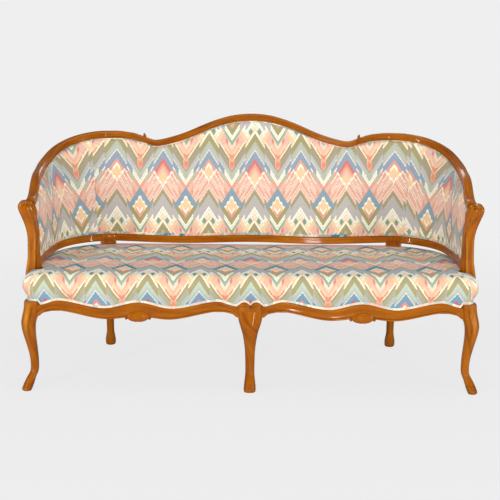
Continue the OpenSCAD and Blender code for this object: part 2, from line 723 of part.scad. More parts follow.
// Dowels: two in each crest joint, and one each from the post into the crest and lower rails
dowel_r = 4;
dowel_l = 36;
crest_dowel_gap = crest_h * 0.42;
module post_dowels(grow) {
    for (place = [[arm_end_z - crest_h * 0.72, frame_t * 0.4], [lower_z, frame_t * 0.3]])
        let (p = wall(0, place[0], place[1]))
        translate([p[0], p[1] - dowel_l / 2 - grow, p[2]])
            rotate([-90, 0, 0])
                cylinder(r = dowel_r + grow, h = dowel_l + 2 * grow);
}
module crest_dowels(grow) {
    s = run_half - crest_joint_x;
    for (step = [-1, 1])
        let (p = wall(s, crest_top(s) - crest_face(s) / 2 + step * crest_dowel_gap / 2, frame_t * 0.58))
        translate([p[0] - dowel_l / 2 - grow, p[1], p[2]])
            rotate([0, 90, 0])
                cylinder(r = dowel_r + grow, h = dowel_l + 2 * grow);
}
module frame_dowels() {
    placed()
    color(plain_wood_colour)
    for (side = [0, 1])
        mirror([side, 0, 0]) {
            post_dowels(0);
            crest_dowels(0);
        }
}

// Lower rails of the back: polished face, with a tongue above it behind the stuffing
function lower_section(s) =
    let (low = lower_mid(s) - lower_h / 2, top = lower_top(s))
    [[bead * 0.4, low], [0, low + bead * 0.6], [0, low + lower_h * 0.5],
     [quirk, low + lower_h * 0.58], [0, low + lower_h * 0.66], [0, top - bead / 2], [bead * 0.6, top],
     [webbing_out, top], [webbing_out, top + tongue], [tongue_back, top + tongue],
     [tongue_back, top], [frame_t, top], [frame_t, low]];
module lower_rail(a, b) {
    lofted([for (s = between(a, b)) [for (q = lower_section(s)) wall(s, q[1], q[0])]]);
}
module lower_back_rail() {
    placed()
    color(wood_colour)
    union() {
        lower_rail(stile_b, 2 * run_half - stile_b);
        for (side = [0, 1])
            mirror([side, 0, 0])
                lower_back_tenon(0);
    }
}
module lower_arm_rail() {
    color(wood_colour)
    difference() {
        union() {
            lower_rail(0, stile_a);
            lower_arm_tenon(0);
        }
        post_dowels(fit / 2);
    }
}
module lower_arm_rail_left() {
    placed() lower_arm_rail();
}
module lower_arm_rail_right() {
    placed() mirror([1, 0, 0]) lower_arm_rail();
}

// Crest rails: moulded face as shares of thickness and height, with a tongue below it
crest_shares = [[0.06, 0], [0, 0.12], [0, 0.42], [0.05, 0.53], [0.01, 0.64], [0.1, 0.92], [0.42, 1],
    [0.8, 0.93], [1, 0.62], [1, 0]];
function crest_section(s) =
    let (low = crest_low(s))
    concat([[webbing_out, low]],
        [for (q = crest_shares) [frame_t * q[0], low + crest_face(s) * q[1]]],
        [[tongue_back, low], [tongue_back, low - tongue], [webbing_out, low - tongue]]);
module crest_rail(a, b) {
    lofted([for (s = between(a, b)) [for (q = crest_section(s)) wall(s, q[1], q[0])]]);
}
beak_shares = [[-2.6, -0.9], [-1.5, 0.1], [-0.4, 0.75], [0.35, 1.2], [0.9, 1.25], [1.1, 0.8], [0.7, 0.25],
    [1.1, -0.9]];
beak_h = 9;
beak_gap = 14;
beak_x = crest_joint_x + beak_gap;
module beak() {
    s = run_half - beak_x;
    p = wall(s, crest_top(s) - beak_h * 0.1, frame_t * 0.85);
    translate(p)
        rotate([90 - back_lean, 0, 0])
            linear_extrude(frame_t * 0.66)
                polygon(beak_h * beak_shares);
}
module crest_shoulder() {
    color(wood_colour)
    difference() {
        union() {
            crest_rail(0, run_half - crest_joint_x);
            beak();
        }
        stile_tenon(fit);
        post_dowels(fit / 2);
        crest_dowels(fit / 2);
    }
}
module crest_rail_left() {
    placed() crest_shoulder();
}
module crest_rail_right() {
    placed() mirror([1, 0, 0]) crest_shoulder();
}
module crest_rail_centre() {
    placed()
    color(wood_colour)
    difference() {
        crest_rail(run_half - crest_joint_x, run_half + crest_joint_x);
        for (side = [0, 1])
            mirror([side, 0, 0])
                crest_dowels(fit / 2);
    }
}

// Outline of the seat in plan at an inset from the show face. It runs from the middle of the
// front round the left side to the middle of the back.
// edge gives each point's height from its distance to the middle.
corner_round = 26;
notch_gap = 1.5;
notch_keep = notch_gap + 4 * cloth_t;
post_notch = seat_half - side_x + flute * 3;
ear_x = leg_inner_x - soft_gap;
fine_xs = concat([0, centre_half / 2], bay_xs, [ear_x]);
coarse_xs = [0, bay_mid_x];
function corner_r_at(inset) = max(corner_round - inset, 2 * fit);
function front_half(inset, xs, edge) =
    let (r = corner_r_at(inset), x_end = seat_half - inset - r, shrink = min(1, (x_end - 2 * fit) / ear_x))
    concat(
        [for (x = xs) [-x * shrink, front_set + inset, edge(x)]],
        [for (a = [0, 30, 60, 90])
            [-x_end - r * sin(a), front_set + inset + r - r * cos(a), edge(seat_half)]]);
// keep_a and keep_b leave out the sections close to an end, so that all rings have as many points
function line_run(a, b, inset, edge, keep_a = 0, keep_b = 0) =
    let (row = between(a + keep_a, b - keep_b), last = len(row) - 1)
    [for (i = [0 : last])
        upright(i == 0 ? a : i == last ? b : row[i], edge(seat_half), back_inset - inset)];
// Notches leave room for the posts and the back legs' blocks. grow makes them larger for the
// inner side of the cloth and for what lies inside it.
function outline(inset, height, grow) =
    let (deep = seat_half - max(inset + fit, post_notch + grow),
         deep_out = min(back_inset - inset - fit, block_front - notch_gap - grow),
         gap = notch_gap + grow,
         notch_y = max(post_back_y - post_d - gap, front_set + inset + corner_r_at(inset) + fit),
         half = concat(
             front_half(inset, coarse_xs, level(0)),
             [[-seat_half + inset, notch_y, 0], [-deep, notch_y, 0], [-deep, post_back_y + gap, 0]],
             line_run(gap, stile_a - gap, inset, level(0), notch_keep - gap, notch_keep - gap),
             [upright(stile_a - gap, 0, deep_out), upright(stile_b + gap, 0, deep_out)],
             line_run(stile_b + gap, run_half, inset, level(0), notch_keep - gap)),
         last = len(half) - 1)
    [for (p = concat(half, mirrored([for (i = [last - 1 : -1 : 1]) half[i]])))
        [p[0], p[1], height(p[1])]];
function level(z) = function(x) z;

// Lower edge of the cover: over the legs' tops and along the front rail's wave
function cover_edge(x, lift) = lift +
    (x >= ear_x ? show_z : x <= centre_half ? lobe_top_z : front_top(x));

// Seat cover: share of the swell and of the height of each ring, from the bulging side to the
// crown. Below the rails' top edge the cloth hangs as a skirt in four lengths.
ring_shares = [[-0.97, 0], [-0.8, 0.45], [0.3, 0.8], [2.6, 0.94], [8.7, 1]];
inner_ring_shares = [for (i = [0, 1, 3, 4]) ring_shares[i]];
skirt_top_z = rail_top_z + soft_gap;
edge_inset = rebate - soft_gap - cloth_t;
function crown(top_z, share) =
    function(y) skirt_top_z + (top_z + seat_tilt * (0.5 - y / seat_d) - skirt_top_z) * share;
function side_rings(shares, shift, top_z) =
    [for (q = shares) outline(seat_swell * q[0] + shift, crown(top_z, q[1]), shift)];
// Section of the skirt: inset, lift above the wood's edge, and 1 where it is measured from the top
skirt_section = [[edge_inset, soft_gap, 0], [edge_inset, 2 * piping_d + 2 * soft_gap, 0],
    [-seat_swell * 0.97, 0, 1], [-seat_swell * 0.97 + cloth_t, 0, 1],
    [edge_inset + cloth_t, 2 * piping_d + 2 * soft_gap, 0], [edge_inset + cloth_t, soft_gap, 0]];
function skirt_edge(q) = function(x) q[2] == 1 ? skirt_top_z : cover_edge(x, q[1]);
module seat_cover() {
    placed()
    color(cover_colour) {
        lofted(concat(reversed(side_rings(ring_shares, 0, seat_z)),
            side_rings(inner_ring_shares, cloth_t, seat_z - cloth_t)));
        edge_runs(skirt_section, function(q) q[0], function(q) skirt_edge(q));
    }
}
module seat_stuffing() {
    shift = cloth_t + soft_gap;
    low = function(y) skirt_top_z + 2 * soft_gap + hessian_t;
    placed()
    color(hair_colour)
    lofted(concat(
        reversed(side_rings(inner_ring_shares, shift, seat_z - shift)),
        [outline(rail_t, function(y) low(y) + hessian_rise * 0.4, shift * 2),
         outline(rail_t * 2, function(y) low(y) + hessian_rise, shift * 2)]));
}
module seat_hessian() {
    low = skirt_top_z;
    shift = cloth_t + 2 * soft_gap;
    placed()
    color(jute_colour)
    lofted([
        outline(rail_t * 2, function(y) low + hessian_rise, shift),
        outline(rebate + cloth_t, function(y) low + hessian_t, shift),
        outline(rebate + cloth_t, function(y) low, shift),
        outline(rail_t * 2, function(y) low + hessian_rise - hessian_t, shift)]);
}

// Four lengths of a section that follow the cover's lower edge between the posts and stiles
module piping_run(runs) {
    lofted([for (i = [0 : len(runs[0]) - 1]) [for (r = runs) r[i]]]);
}
function both_ways(half) = concat(mirrored([for (i = [len(half) - 1 : -1 : 1]) half[i]]), half);
function front_run(inset, edge) =
    concat(front_half(inset, fine_xs, edge),
        [[-seat_half + inset, post_back_y - post_d - notch_gap, edge(seat_half)]]);
module edge_runs(section, inset, edge) {
    piping_run([for (q = section) both_ways(front_run(inset(q), edge(q)))]);
    for (side = [0, 1])
        mirror([side, 0, 0])
            piping_run([for (q = section)
                line_run(notch_gap, stile_a - notch_gap, inset(q), edge(q))]);
    piping_run([for (q = section)
        both_ways(reversed(line_run(stile_b + notch_gap, run_half, inset(q), edge(q))))]);
}

// Double piping over the cover's lower edge, in four lengths between the posts and stiles:
// outward and upward places of its section as shares of the cord
double_shares = [[0, 0], [0.8, 0.06], [1, 0.55], [0.72, 1], [1, 1.45], [0.4, 1.98]];
function piping_edge(q) = function(x) cover_edge(x, soft_gap) + q[1] * piping_d;
module seat_piping() {
    placed()
    color(piping_colour)
    edge_runs(double_shares, function(q) edge_inset - soft_gap - q[0] * piping_d,
        function(q) piping_edge(q));
}

// Webbing under the seat: long straps against the rails' undersides, and straps from front to
// back below them with a folded end at each rail
inner_r = wall_r + back_inset - rail_t;
side_inner_r = side_r + back_inset - rail_t;
side_shift = (side_r - wall_r) * cos(side_turn) - corner_x;
function rail_inner_x(y) =
    y > corner_y + inner_r * sin(side_turn) ? corner_x + sqrt(pow(inner_r, 2) - pow(y - corner_y, 2))
    : sqrt(pow(side_inner_r, 2) - pow(max(0, y - post_back_y), 2)) - side_shift;
function rail_inner_y(x) =
    x > corner_x ? corner_y + sqrt(pow(inner_r, 2) - pow(x - corner_x, 2)) : seat_d - rail_t;
strap_x_shares = [0.27, 0.51, 0.76, 1];
spring_y_shares = [0.32, 0.68];
strap_y_shares = [0.2, 0.32, 0.44, 0.56, 0.68, 0.8];
strap_reach = stile_w / 2 + strap_w / 2 + rail_t * 0.4;
strap_xs = concat((stile_x - strap_reach) * strap_x_shares, [stile_x + strap_reach]);
spring_xs = [strap_xs[0], strap_xs[2], strap_xs[4]];
strap_hold = rail_t * 0.4;
strap_front_y = front_set + rail_t + batten_w - strap_hold;
module seat_webbing() {
    placed()
    color(jute_colour) {
        for (share = strap_y_shares)
            let (y = seat_d * share, x = rail_inner_x(y + strap_w / 2) + strap_hold)
            translate([-x, y - strap_w / 2, rail_low_z - strap_t])
                cube([2 * x, strap_w, strap_t]);
        for (side = [-1, 1], x = strap_xs)
            let (end_y = rail_inner_y(x + strap_w / 2) + strap_hold)
            translate([side * x - strap_w / 2, 0, 0])
                union() {
                    translate([0, strap_front_y, rail_low_z - 2 * strap_t])
                        cube([strap_w, end_y - strap_front_y, strap_t]);
                    for (y = [strap_front_y, end_y - strap_hold])
                        translate([0, y, rail_low_z - 2 * strap_t])
                            cube([strap_w, strap_hold, 2 * strap_t]);
                }
    }
}

// Springs tied down by cords
spring_curls = 3;
curl_rings = 6;
waist_share = 0.72;
module spring() {
    n = spring_curls * curl_rings;
    height = spring_top_z - spring_low_z - wire_d;
    lofted([for (i = [0 : n])
        let (u = i / n, a = 360 * spring_curls * u,
             r = (spring_d - wire_d) / 2 * (1 - (1 - waist_share) * sin(180 * u)),
             z = spring_low_z + wire_d / 2 + height * u)
        [for (k = [0 : 3])
            let (b = 90 * k + 45, q = r + wire_d / 2 * cos(b))
            [q * cos(a), q * sin(a), z + wire_d / 2 * sin(b)]]]);
}
module seat_springs() {
    placed()
    color(steel_colour)
    for (side = [-1, 1], x = spring_xs, y_share = spring_y_shares)
        translate([side * x, seat_d * y_share, 0])
            spring();
}
cord_r = 1.2;
// Cord through [distance, height] points in an upright plane, along X or along Y
module cord_along(points) {
    lofted([for (p = points)
        [[-cord_r, p[0], p[1]], [0, p[0], p[1] + cord_r], [cord_r, p[0], p[1]], [0, p[0], p[1] - cord_r]]]);
}
module spring_cords() {
    low_z = rail_top_z + cord_r + soft_gap;
    first_z = spring_top_z + cord_r + soft_gap;
    second_z = first_z + 2 * cord_r + soft_gap;
    hold = rail_t * 0.35;
    y_a = seat_d * spring_y_shares[0] - spring_d / 2;
    y_b = seat_d * spring_y_shares[1] + spring_d / 2;
    x_b = spring_xs[2] + spring_d / 2;
    placed()
    color(piping_colour) {
        for (side = [-1, 1], x = spring_xs)
            translate([side * x, 0, 0])
                cord_along([[front_set + rail_t - hold, low_z], [y_a, first_z],
                    [y_b, first_z], [rail_inner_y(x) + hold, low_z]]);
        for (share = spring_y_shares)
            let (x = rail_inner_x(seat_d * share) + hold)
            translate([0, seat_d * share, 0])
                rotate([0, 0, -90])
                    cord_along([[-x, low_z], [-x_b, second_z], [x_b, second_z], [x, low_z]]);
    }
}

// Dark cloth under the seat, with its edge turned up to the rails' undersides
dust_t = 1;
dust_gap = 2;
dust_rim = 6;
dust_z = rail_low_z - 2 * strap_t - soft_gap - dust_t;
function dust_half(shrink) =
    let (y = front_set + rail_t + dust_gap + shrink, leg_y = leg_block + dust_gap + shrink,
         out = back_inset - quirk * 2 - shrink)
    concat(
        [[0, leg_y], [-centre_half - dust_gap - shrink, leg_y], [-centre_half - dust_gap - shrink, y],
         [-leg_inner_x + dust_gap + shrink, y], [-leg_inner_x + dust_gap + shrink, leg_y],
         [-side_x - out, leg_y]],
        [for (s = between(0, stile_a - dust_gap - shrink)) plan(s, out)],
        [plan(stile_a - dust_gap - shrink, block_front - dust_gap - shrink),
         plan(stile_b + dust_gap + shrink, block_front - dust_gap - shrink)],
        [for (s = between(stile_b + dust_gap + shrink, run_half)) plan(s, out)]);
function dust_outline(shrink) =
    let (half = dust_half(shrink), last = len(half) - 1)
    concat(half, mirrored([for (i = [last - 1 : -1 : 1]) half[i]]));
module dust_cover() {
    placed()
    color(dust_colour)
    translate([0, 0, dust_z])
        union() {
            linear_extrude(dust_t)
                polygon(dust_outline(0));
            linear_extrude(rail_low_z - dust_z)
                difference() {
                    polygon(dust_outline(0));
                    polygon(dust_outline(dust_rim));
                }
        }
}

// The back's layers, from the webbing at the back to the cover in front of it
back_straps = 4.5;
strap_spacing = (run_half - stile_mid) / back_straps;
strap_count = floor((run_half - strap_w) / strap_spacing);
module layer(a, b, out_a, out_b) {
    lofted([for (s = between(a, b))
        let (low = lower_top(s) + soft_gap, high = crest_low(s) - soft_gap)
        [wall(s, low, out_a), wall(s, high, out_a), wall(s, high, out_b), wall(s, low, out_b)]]);
}
module back_webbing() {
    placed()
    color(jute_colour)
    for (i = [-strap_count : strap_count])
        let (s = run_half + i * strap_spacing)
        layer(s - strap_w / 2, s + strap_w / 2, strap_out, strap_out + strap_t);
}
module back_hessian() {
    placed()
    color(jute_colour)
    layer(soft_gap, 2 * run_half - soft_gap, hessian_out, hessian_out + hessian_t);
}
// Front of the stuffed back above the piping: share of the swell and share of the height
swell_shares = [[0.3, 0.05], [0.85, 0.24], [1, 0.48], [0.85, 0.77], [0.3, 0.95]];
cover_edge_out = piping_d * 0.6 + soft_gap;
function swell_at(s) = back_swell * through([[0, 0.05], [post_d * 1.6, 1]], from_front(s));
function front_face(s, shift) =
    let (low = lower_top(s) + soft_gap, high = crest_low(s) - soft_gap, rise = piping_d + 2 * soft_gap)
    concat(
        [[cover_edge_out + shift, low + rise]],
        [for (q = swell_shares) [shift - swell_at(s) * q[0], low + (high - low) * q[1]]],
        [[cover_edge_out + shift, high - rise]]);
function cover_face(s, shift) =
    concat([[cover_edge_out + shift, lower_top(s) + soft_gap]], front_face(s, shift),
        [[cover_edge_out + shift, crest_low(s) - soft_gap]]);
module inside_back_cover() {
    placed()
    color(cover_colour)
    lofted([for (s = between(soft_gap, 2 * run_half - soft_gap))
        [for (q = concat(cover_face(s, 0), reversed(cover_face(s, cloth_t)))) wall(s, q[1], q[0])]]);
}
module back_stuffing() {
    placed()
    color(hair_colour)
    lofted([for (s = between(soft_gap, 2 * run_half - soft_gap))
        [for (q = concat([[stuffing_out, lower_top(s) + soft_gap]], front_face(s, cloth_t + soft_gap),
            [[stuffing_out, crest_low(s) - soft_gap]])) wall(s, q[1], q[0])]]);
}
piping_sides = 5;
module back_piping(side) {
    lofted([for (s = between(soft_gap, 2 * run_half - soft_gap))
        let (edge = side > 0 ? lower_top(s) : crest_low(s))
        [for (i = [0 : piping_sides - 1])
            let (a = 360 * i / piping_sides)
            wall(s, edge + side * (soft_gap + piping_d / 2) + piping_d / 2 * sin(a),
                piping_d * 0.1 + piping_d / 2 * cos(a))]]);
}
module crest_piping() {
    placed()
    color(piping_colour)
    back_piping(-1);
}
module lower_piping() {
    placed()
    color(piping_colour)
    back_piping(1);
}
module outside_back_cover() {
    placed()
    color(cover_colour)
    layer(soft_gap, 2 * run_half - soft_gap, tongue_back + soft_gap, tongue_back + soft_gap + cloth_t);
}

front_leg_left();
front_leg_right();
front_leg_centre();
back_leg_left();
back_leg_right();
front_rail_left();
front_rail_right();
rail_shells();
side_rail_left();
side_rail_right();
back_seat_rail();
centre_bearer();
front_battens();
corner_blocks();
corner_screws();
arm_post_left();
arm_post_right();
lower_back_rail();
lower_arm_rail_left();
lower_arm_rail_right();
crest_rail_centre();
crest_rail_left();
crest_rail_right();
frame_dowels();
seat_springs();
seat_hessian();
seat_stuffing();
seat_cover();
seat_piping();
seat_webbing();
spring_cords();
dust_cover();
back_webbing();
back_hessian();
back_stuffing();
inside_back_cover();
crest_piping();
lower_piping();
outside_back_cover();
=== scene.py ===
import bpy
import bmesh
from math import sin, cos, tan, acos, pi, radians, sqrt, exp, floor, hypot
from mathutils import Vector, Matrix, noise
from mathutils.geometry import delaunay_2d_cdt


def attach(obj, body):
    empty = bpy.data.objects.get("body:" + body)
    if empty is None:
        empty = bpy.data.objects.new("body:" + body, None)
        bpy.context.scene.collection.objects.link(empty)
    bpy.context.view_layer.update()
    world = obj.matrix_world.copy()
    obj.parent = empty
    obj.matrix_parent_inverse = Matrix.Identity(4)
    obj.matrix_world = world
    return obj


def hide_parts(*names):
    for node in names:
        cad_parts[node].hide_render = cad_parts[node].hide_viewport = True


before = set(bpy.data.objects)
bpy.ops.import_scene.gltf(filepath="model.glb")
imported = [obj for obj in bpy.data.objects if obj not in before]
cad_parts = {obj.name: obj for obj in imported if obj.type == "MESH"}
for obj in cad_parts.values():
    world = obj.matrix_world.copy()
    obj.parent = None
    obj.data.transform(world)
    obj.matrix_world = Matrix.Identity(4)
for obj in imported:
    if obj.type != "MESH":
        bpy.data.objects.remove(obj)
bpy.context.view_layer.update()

scene = bpy.context.scene
scene.view_settings.view_transform = "Standard"


def placed(name, data):
    """A new object in the scene."""
    piece = bpy.data.objects.new(name, data)
    scene.collection.objects.link(piece)
    return piece


def empty_tree(owner):
    owner.use_nodes = True
    owner.node_tree.nodes.clear()
    return owner.node_tree


def node_step(tree, kind, values={}, links={}):
    """One node, with its fixed values and with what is led to its sockets."""
    node = tree.nodes.new(kind)
    for name, value in values.items():
        if hasattr(node, name):
            setattr(node, name, value)
        else:
            node.inputs[name].default_value = value
    for name, source in links.items():
        tree.links.new(source, node.inputs[name])
    return node


# View and studio
# The sofa is seen from straight in front and a little above. It stands on a plain pale
# floor, between two tall soft lamps that put the long highlights on the posts and legs.
tilt_down, turn, roll = 0.2249, 0.0013, 0.0077
focal_pixels, photo_pixels = 1075.9, 500
view_data = bpy.data.cameras.new("view")
view_data.sensor_width = 36
view_data.lens = focal_pixels / photo_pixels * view_data.sensor_width
view = placed("view", view_data)
aim = Matrix.Rotation(turn, 4, "Z") @ Matrix.Rotation(pi / 2 - tilt_down, 4, "X")
aim = aim @ Matrix.Rotation(roll, 4, "Z")
eye = (0.0023, -4.3742, 1.495)
view.location = eye
view.rotation_euler = aim.to_euler()
scene.camera = view

ground_grey = 0.863
seen_grey = (ground_grey, ground_grey, ground_grey, 1)
fade_from, fade_to, floor_near = 1.1, 3.2, 0.89


def pale_surface(name, shade):
    """Pale paper: lit by the lamps and shadowed by the sofa, but seen directly nearly its own grey."""
    m = bpy.data.materials.new(name)
    t = empty_tree(m)
    lit = node_step(t, "ShaderNodeBsdfDiffuse", {"Color": (shade, shade, shade, 1)})
    plain = node_step(t, "ShaderNodeEmission", {"Color": seen_grey})
    path = node_step(t, "ShaderNodeLightPath")
    spot = node_step(t, "ShaderNodeTexCoord")
    far = node_step(t, "ShaderNodeVectorMath", {"operation": "LENGTH"}, {0: spot.outputs["Object"]})
    fade = node_step(t, "ShaderNodeMapRange", {
        "interpolation_type": "SMOOTHSTEP", "From Min": fade_from, "From Max": fade_to,
        "To Min": floor_near}, {"Value": far.outputs["Value"]})
    part = node_step(t, "ShaderNodeMath", {"operation": "MULTIPLY"}, {
        0: path.outputs["Is Camera Ray"], 1: fade.outputs[0]})
    mix = node_step(t, "ShaderNodeMixShader", {}, {
        0: part.outputs[0], 1: lit.outputs[0], 2: plain.outputs[0]})
    node_step(t, "ShaderNodeOutputMaterial", {}, {0: mix.outputs[0]})
    return m


floor_mesh = bpy.data.meshes.new("floor")
floor_reach = 60
floor_corners = [(x * floor_reach, y * floor_reach, 0) for x, y in ((-1, -1), (1, -1), (1, 1), (-1, 1))]
floor_mesh.from_pydata(floor_corners, [], [(0, 1, 2, 3)])
floor_mesh.materials.append(pale_surface("floor paper", 0.8))
floor_piece = placed("floor", floor_mesh)

world = bpy.data.worlds.new("studio")
scene.world = world
wt = empty_tree(world)
world_path = node_step(wt, "ShaderNodeLightPath")
ambient = node_step(wt, "ShaderNodeBackground", {"Color": (1, 1, 1, 1), "Strength": 0.24})
seen = node_step(wt, "ShaderNodeBackground", {"Color": seen_grey})
world_mix = node_step(wt, "ShaderNodeMixShader", {}, {
    0: world_path.outputs["Is Camera Ray"], 1: ambient.outputs[0], 2: seen.outputs[0]})
node_step(wt, "ShaderNodeOutputWorld", {}, {0: world_mix.outputs[0]})


def soft_lamp(name, place, aimed_at, width, height, watts, mirrored=True):
    data = bpy.data.lights.new(name, "AREA")
    data.shape = "RECTANGLE"
    data.size, data.size_y, data.energy = width, height, watts
    lamp = placed(name, data)
    lamp.location = place
    lamp.rotation_euler = (Vector(aimed_at) - Vector(place)).to_track_quat("-Z", "Y").to_euler()
    lamp.visible_glossy = mirrored


soft_lamp("left lamp", (-3.0, -3.2, 1.35), (0, 0, 0.6), 0.14, 2.5, 78)
soft_lamp("right lamp", (3.2, -3.0, 1.35), (0, 0, 0.6), 0.14, 2.5, 70)
soft_lamp("top lamp", (0.2, -0.4, 3.4), (0, 0, 0.4), 2.6, 1.4, 25)
soft_lamp("front lamp", (0.0, -5.2, 2.4), (0, 0, 0.6), 2.2, 1.0, 38, mirrored=False)
soft_lamp("small front lamp", (0.55, -4.6, 1.15), (0, 0, 0.6), 0.12, 2.1, 30)
soft_lamp("low lamp", (0.0, -4.8, 0.7), (0, 0.2, 0.2), 2.4, 0.5, 38, mirrored=False)
soft_lamp("rim lamp", (0.3, 3.6, 2.6), (0, 0, 0.6), 2.4, 1.4, 34)

# Front legs
# Three cabriole legs of polished honey-brown fruitwood, each carved from one length. The
# corner legs sweep outwards and end in a small squared toe; the middle one is straight
# from the front and has two carved lobes where it meets the cover.
mm = 0.001
weld = 0.000002
hands = ((-1, "left"), (1, "right"))
seat_half, seat_depth, rail_top, show_top = 875, 625, 410, 361
rebate, rail_thick, front_set, frame_in, rail_low = 10, 34, 6, 40, 318
leg_block, knee, foot_sweep = 54, 60, 26
leg_mid = leg_block / 2
leg_x = seat_half + 5 - leg_mid
leg_inner = leg_x - leg_mid
lean_back, lower_mid_z, crest_mid_z = 11, 494, 1027
frame_thick, crest_face_h = 36, 30
wall_back = seat_depth - frame_in
front_reach = leg_mid - foot_sweep - knee * 0.32
lean_rise = crest_mid_z - 0.3 * crest_face_h - lower_mid_z
back_reach = wall_back + frame_thick + lean_rise * tan(radians(lean_back))
y_middle = (front_reach + back_reach) / 2


def put(x, y, z):
    """A place in millimetres from the middle, from the front of the legs and from the floor."""
    return Vector((x * mm, (y - y_middle) * mm, z * mm))


def smooth_value(table, x, column=1, level=False):
    """Smooth curve through a table of places and values, level at its two ends if asked."""
    x = min(max(x, table[0][0]), table[-1][0])
    i = 0
    while i < len(table) - 2 and x >= table[i + 1][0]:
        i += 1

    def slope(k):
        if level and k in (0, len(table) - 1):
            return 0
        a, b = max(k - 1, 0), min(k + 1, len(table) - 1)
        return (table[b][column] - table[a][column]) / (table[b][0] - table[a][0])
    w = table[i + 1][0] - table[i][0]
    u = (x - table[i][0]) / w
    return (table[i][column] * (2 * u ** 3 - 3 * u ** 2 + 1) + slope(i) * w * (u ** 3 - 2 * u ** 2 + u)
            + table[i + 1][column] * (3 * u ** 2 - 2 * u ** 3) + slope(i + 1) * w * (u ** 3 - u ** 2))


def spread(a, b, n):
    return [a + (b - a) * i / n for i in range(n + 1)]


def mirrored(points, hand):
    return [Vector((p.x * hand, p.y, p.z)) for p in points]


def finish_mesh(name, verts, faces, uvs, shades, crease):
    """Object with its faces outwards, smooth but for its arrises, with grain map and shade."""
    mesh = bpy.data.meshes.new(name)
    mesh.from_pydata(verts, [], faces)
    layer = mesh.uv_layers.new(name="grain")
    k = 0
    for poly in uvs:
        for uv in poly:
            layer.data[k].uv = uv
            k += 1
    tone = mesh.attributes.new("shade", "FLOAT", "POINT")
    tone.data.foreach_set("value", shades)
    bm = bmesh.new()
    bm.from_mesh(mesh)
    bmesh.ops.remove_doubles(bm, verts=bm.verts, dist=weld)
    if bm.calc_volume(signed=True) < 0:
        bmesh.ops.reverse_faces(bm, faces=bm.faces)
    limit = radians(crease)
    for e in bm.edges:
        e.smooth = len(e.link_faces) == 2 and e.calc_face_angle(0) < limit
    for f in bm.faces:
        f.smooth = True
    bm.to_mesh(mesh)
    bm.free()
    return placed(name, mesh)


def fitted(piece, node):
    """The piece rides on the sofa's one body and stands for a plain solid."""
    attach(piece, "root")
    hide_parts(node)
    return piece


def both_hands(make, node, grains):
    """Makes the left piece and the right one, each with the place where its grain starts."""
    for (side, hand), grain_from in zip(hands, grains):
        make(side, node + hand, grain_from)


class Carving:
    """Gathers lofted and extruded parts of one wooden piece."""

    def __init__(self, node, grain_from, name=None):
        self.node, self.name, self.grain_from = node, name or node + "_wood", grain_from
        self.verts, self.faces, self.uvs, self.shades = [], [], [], []

    def loft(self, rings, tones=None, grain_around=False):
        """A skin over the rings; tones are the shades of each ring in turn, or one row for all."""
        n, base = len(rings[0]), len(self.verts)
        along = [self.grain_from]
        for a, b in zip(rings, rings[1:]):
            step = sum((b[j] - a[j]).length for j in range(n)) / n
            along.append(along[-1] + step)
        tones = tones or [1.0] * n
        for k, ring in enumerate(rings):
            self.verts += ring
            self.shades += tones[k] if isinstance(tones[0], list) else tones
        flip = self.turned(rings)
        for k in range(len(rings) - 1):
            around = [0.0]
            for j in range(n):
                around.append(around[-1] + (rings[k][(j + 1) % n] - rings[k][j]).length)
            for j in range(n):
                jj = (j + 1) % n
                quad = [base + k * n + j, base + k * n + jj, base + (k + 1) * n + jj, base + (k + 1) * n + j]
                uv = [(along[k], around[j]), (along[k], around[j + 1]),
                      (along[k + 1], around[j + 1]), (along[k + 1], around[j])]
                if grain_around:
                    uv = [(v, u) for u, v in uv]
                if flip:
                    quad, uv = quad[::-1], uv[::-1]
                self.faces.append(quad)
                self.uvs.append(uv)
        for k, turn_over in ((0, not flip), (len(rings) - 1, flip)):
            ids = [base + k * n + j for j in range(n)]
            c = sum(rings[k], Vector()) / n
            uv = [(along[k] + (p.x - c.x + p.y - c.y) * 0.3, (p - c).length + 0.3) for p in rings[k]]
            if turn_over:
                ids, uv = ids[::-1], uv[::-1]
            self.faces.append(ids)
            self.uvs.append(uv)

    def turned(self, rings):
        """True where a ring's points and the loft's direction would make the faces look inwards."""
        total = 0.0
        n = len(rings[0])
        for a, b in zip(rings, rings[1:]):
            for j in range(n):
                p, q, r, s = a[j], a[(j + 1) % n], b[(j + 1) % n], b[j]
                total += p.dot(q.cross(r)) + p.dot(r.cross(s))
        for ring, sign in ((rings[0], -1), (rings[-1], 1)):
            for j in range(1, n - 1):
                total += sign * ring[0].dot(ring[j].cross(ring[j + 1]))
        return total < 0

    def block(self, outline, z_low, z_high):
        """Upright prism over an outline in millimetres."""
        self.loft([[put(x, y, z) for x, y in outline] for z in (z_low, z_high)])

    def piece(self, material, crease, finish="show_wood"):
        o = finish_mesh(self.name, self.verts, self.faces, self.uvs, self.shades, crease)
        o.data.materials.append(material)
        fitted(o, self.node)


def new_material(name):
    """A material with its tree and its skin."""
    m = bpy.data.materials.new(name)
    tree = empty_tree(m)
    skin = node_step(tree, "ShaderNodeBsdfPrincipled")
    node_step(tree, "ShaderNodeOutputMaterial", {}, {0: skin.outputs[0]})
    return m, tree, skin


def surface(tree, skin, colour, looks):
    """Leads the colour to the skin and sets its plain values."""
    tree.links.new(colour, skin.inputs["Base Color"])
    for name, value in looks.items():
        skin.inputs[name].default_value = value


def maths(tree, kind, a, b=None, c=None):
    n = tree.nodes.new("ShaderNodeMath")
    n.operation = kind
    for i, v in enumerate((a, b, c)):
        if v is None:
            continue
        if isinstance(v, (int, float)):
            n.inputs[i].default_value = v
        else:
            tree.links.new(v, n.inputs[i])
    return n.outputs[0]


def times(tree, a, b):
    return maths(tree, "MULTIPLY", a, b)


def plus(tree, a, b):
    return maths(tree, "ADD", a, b)


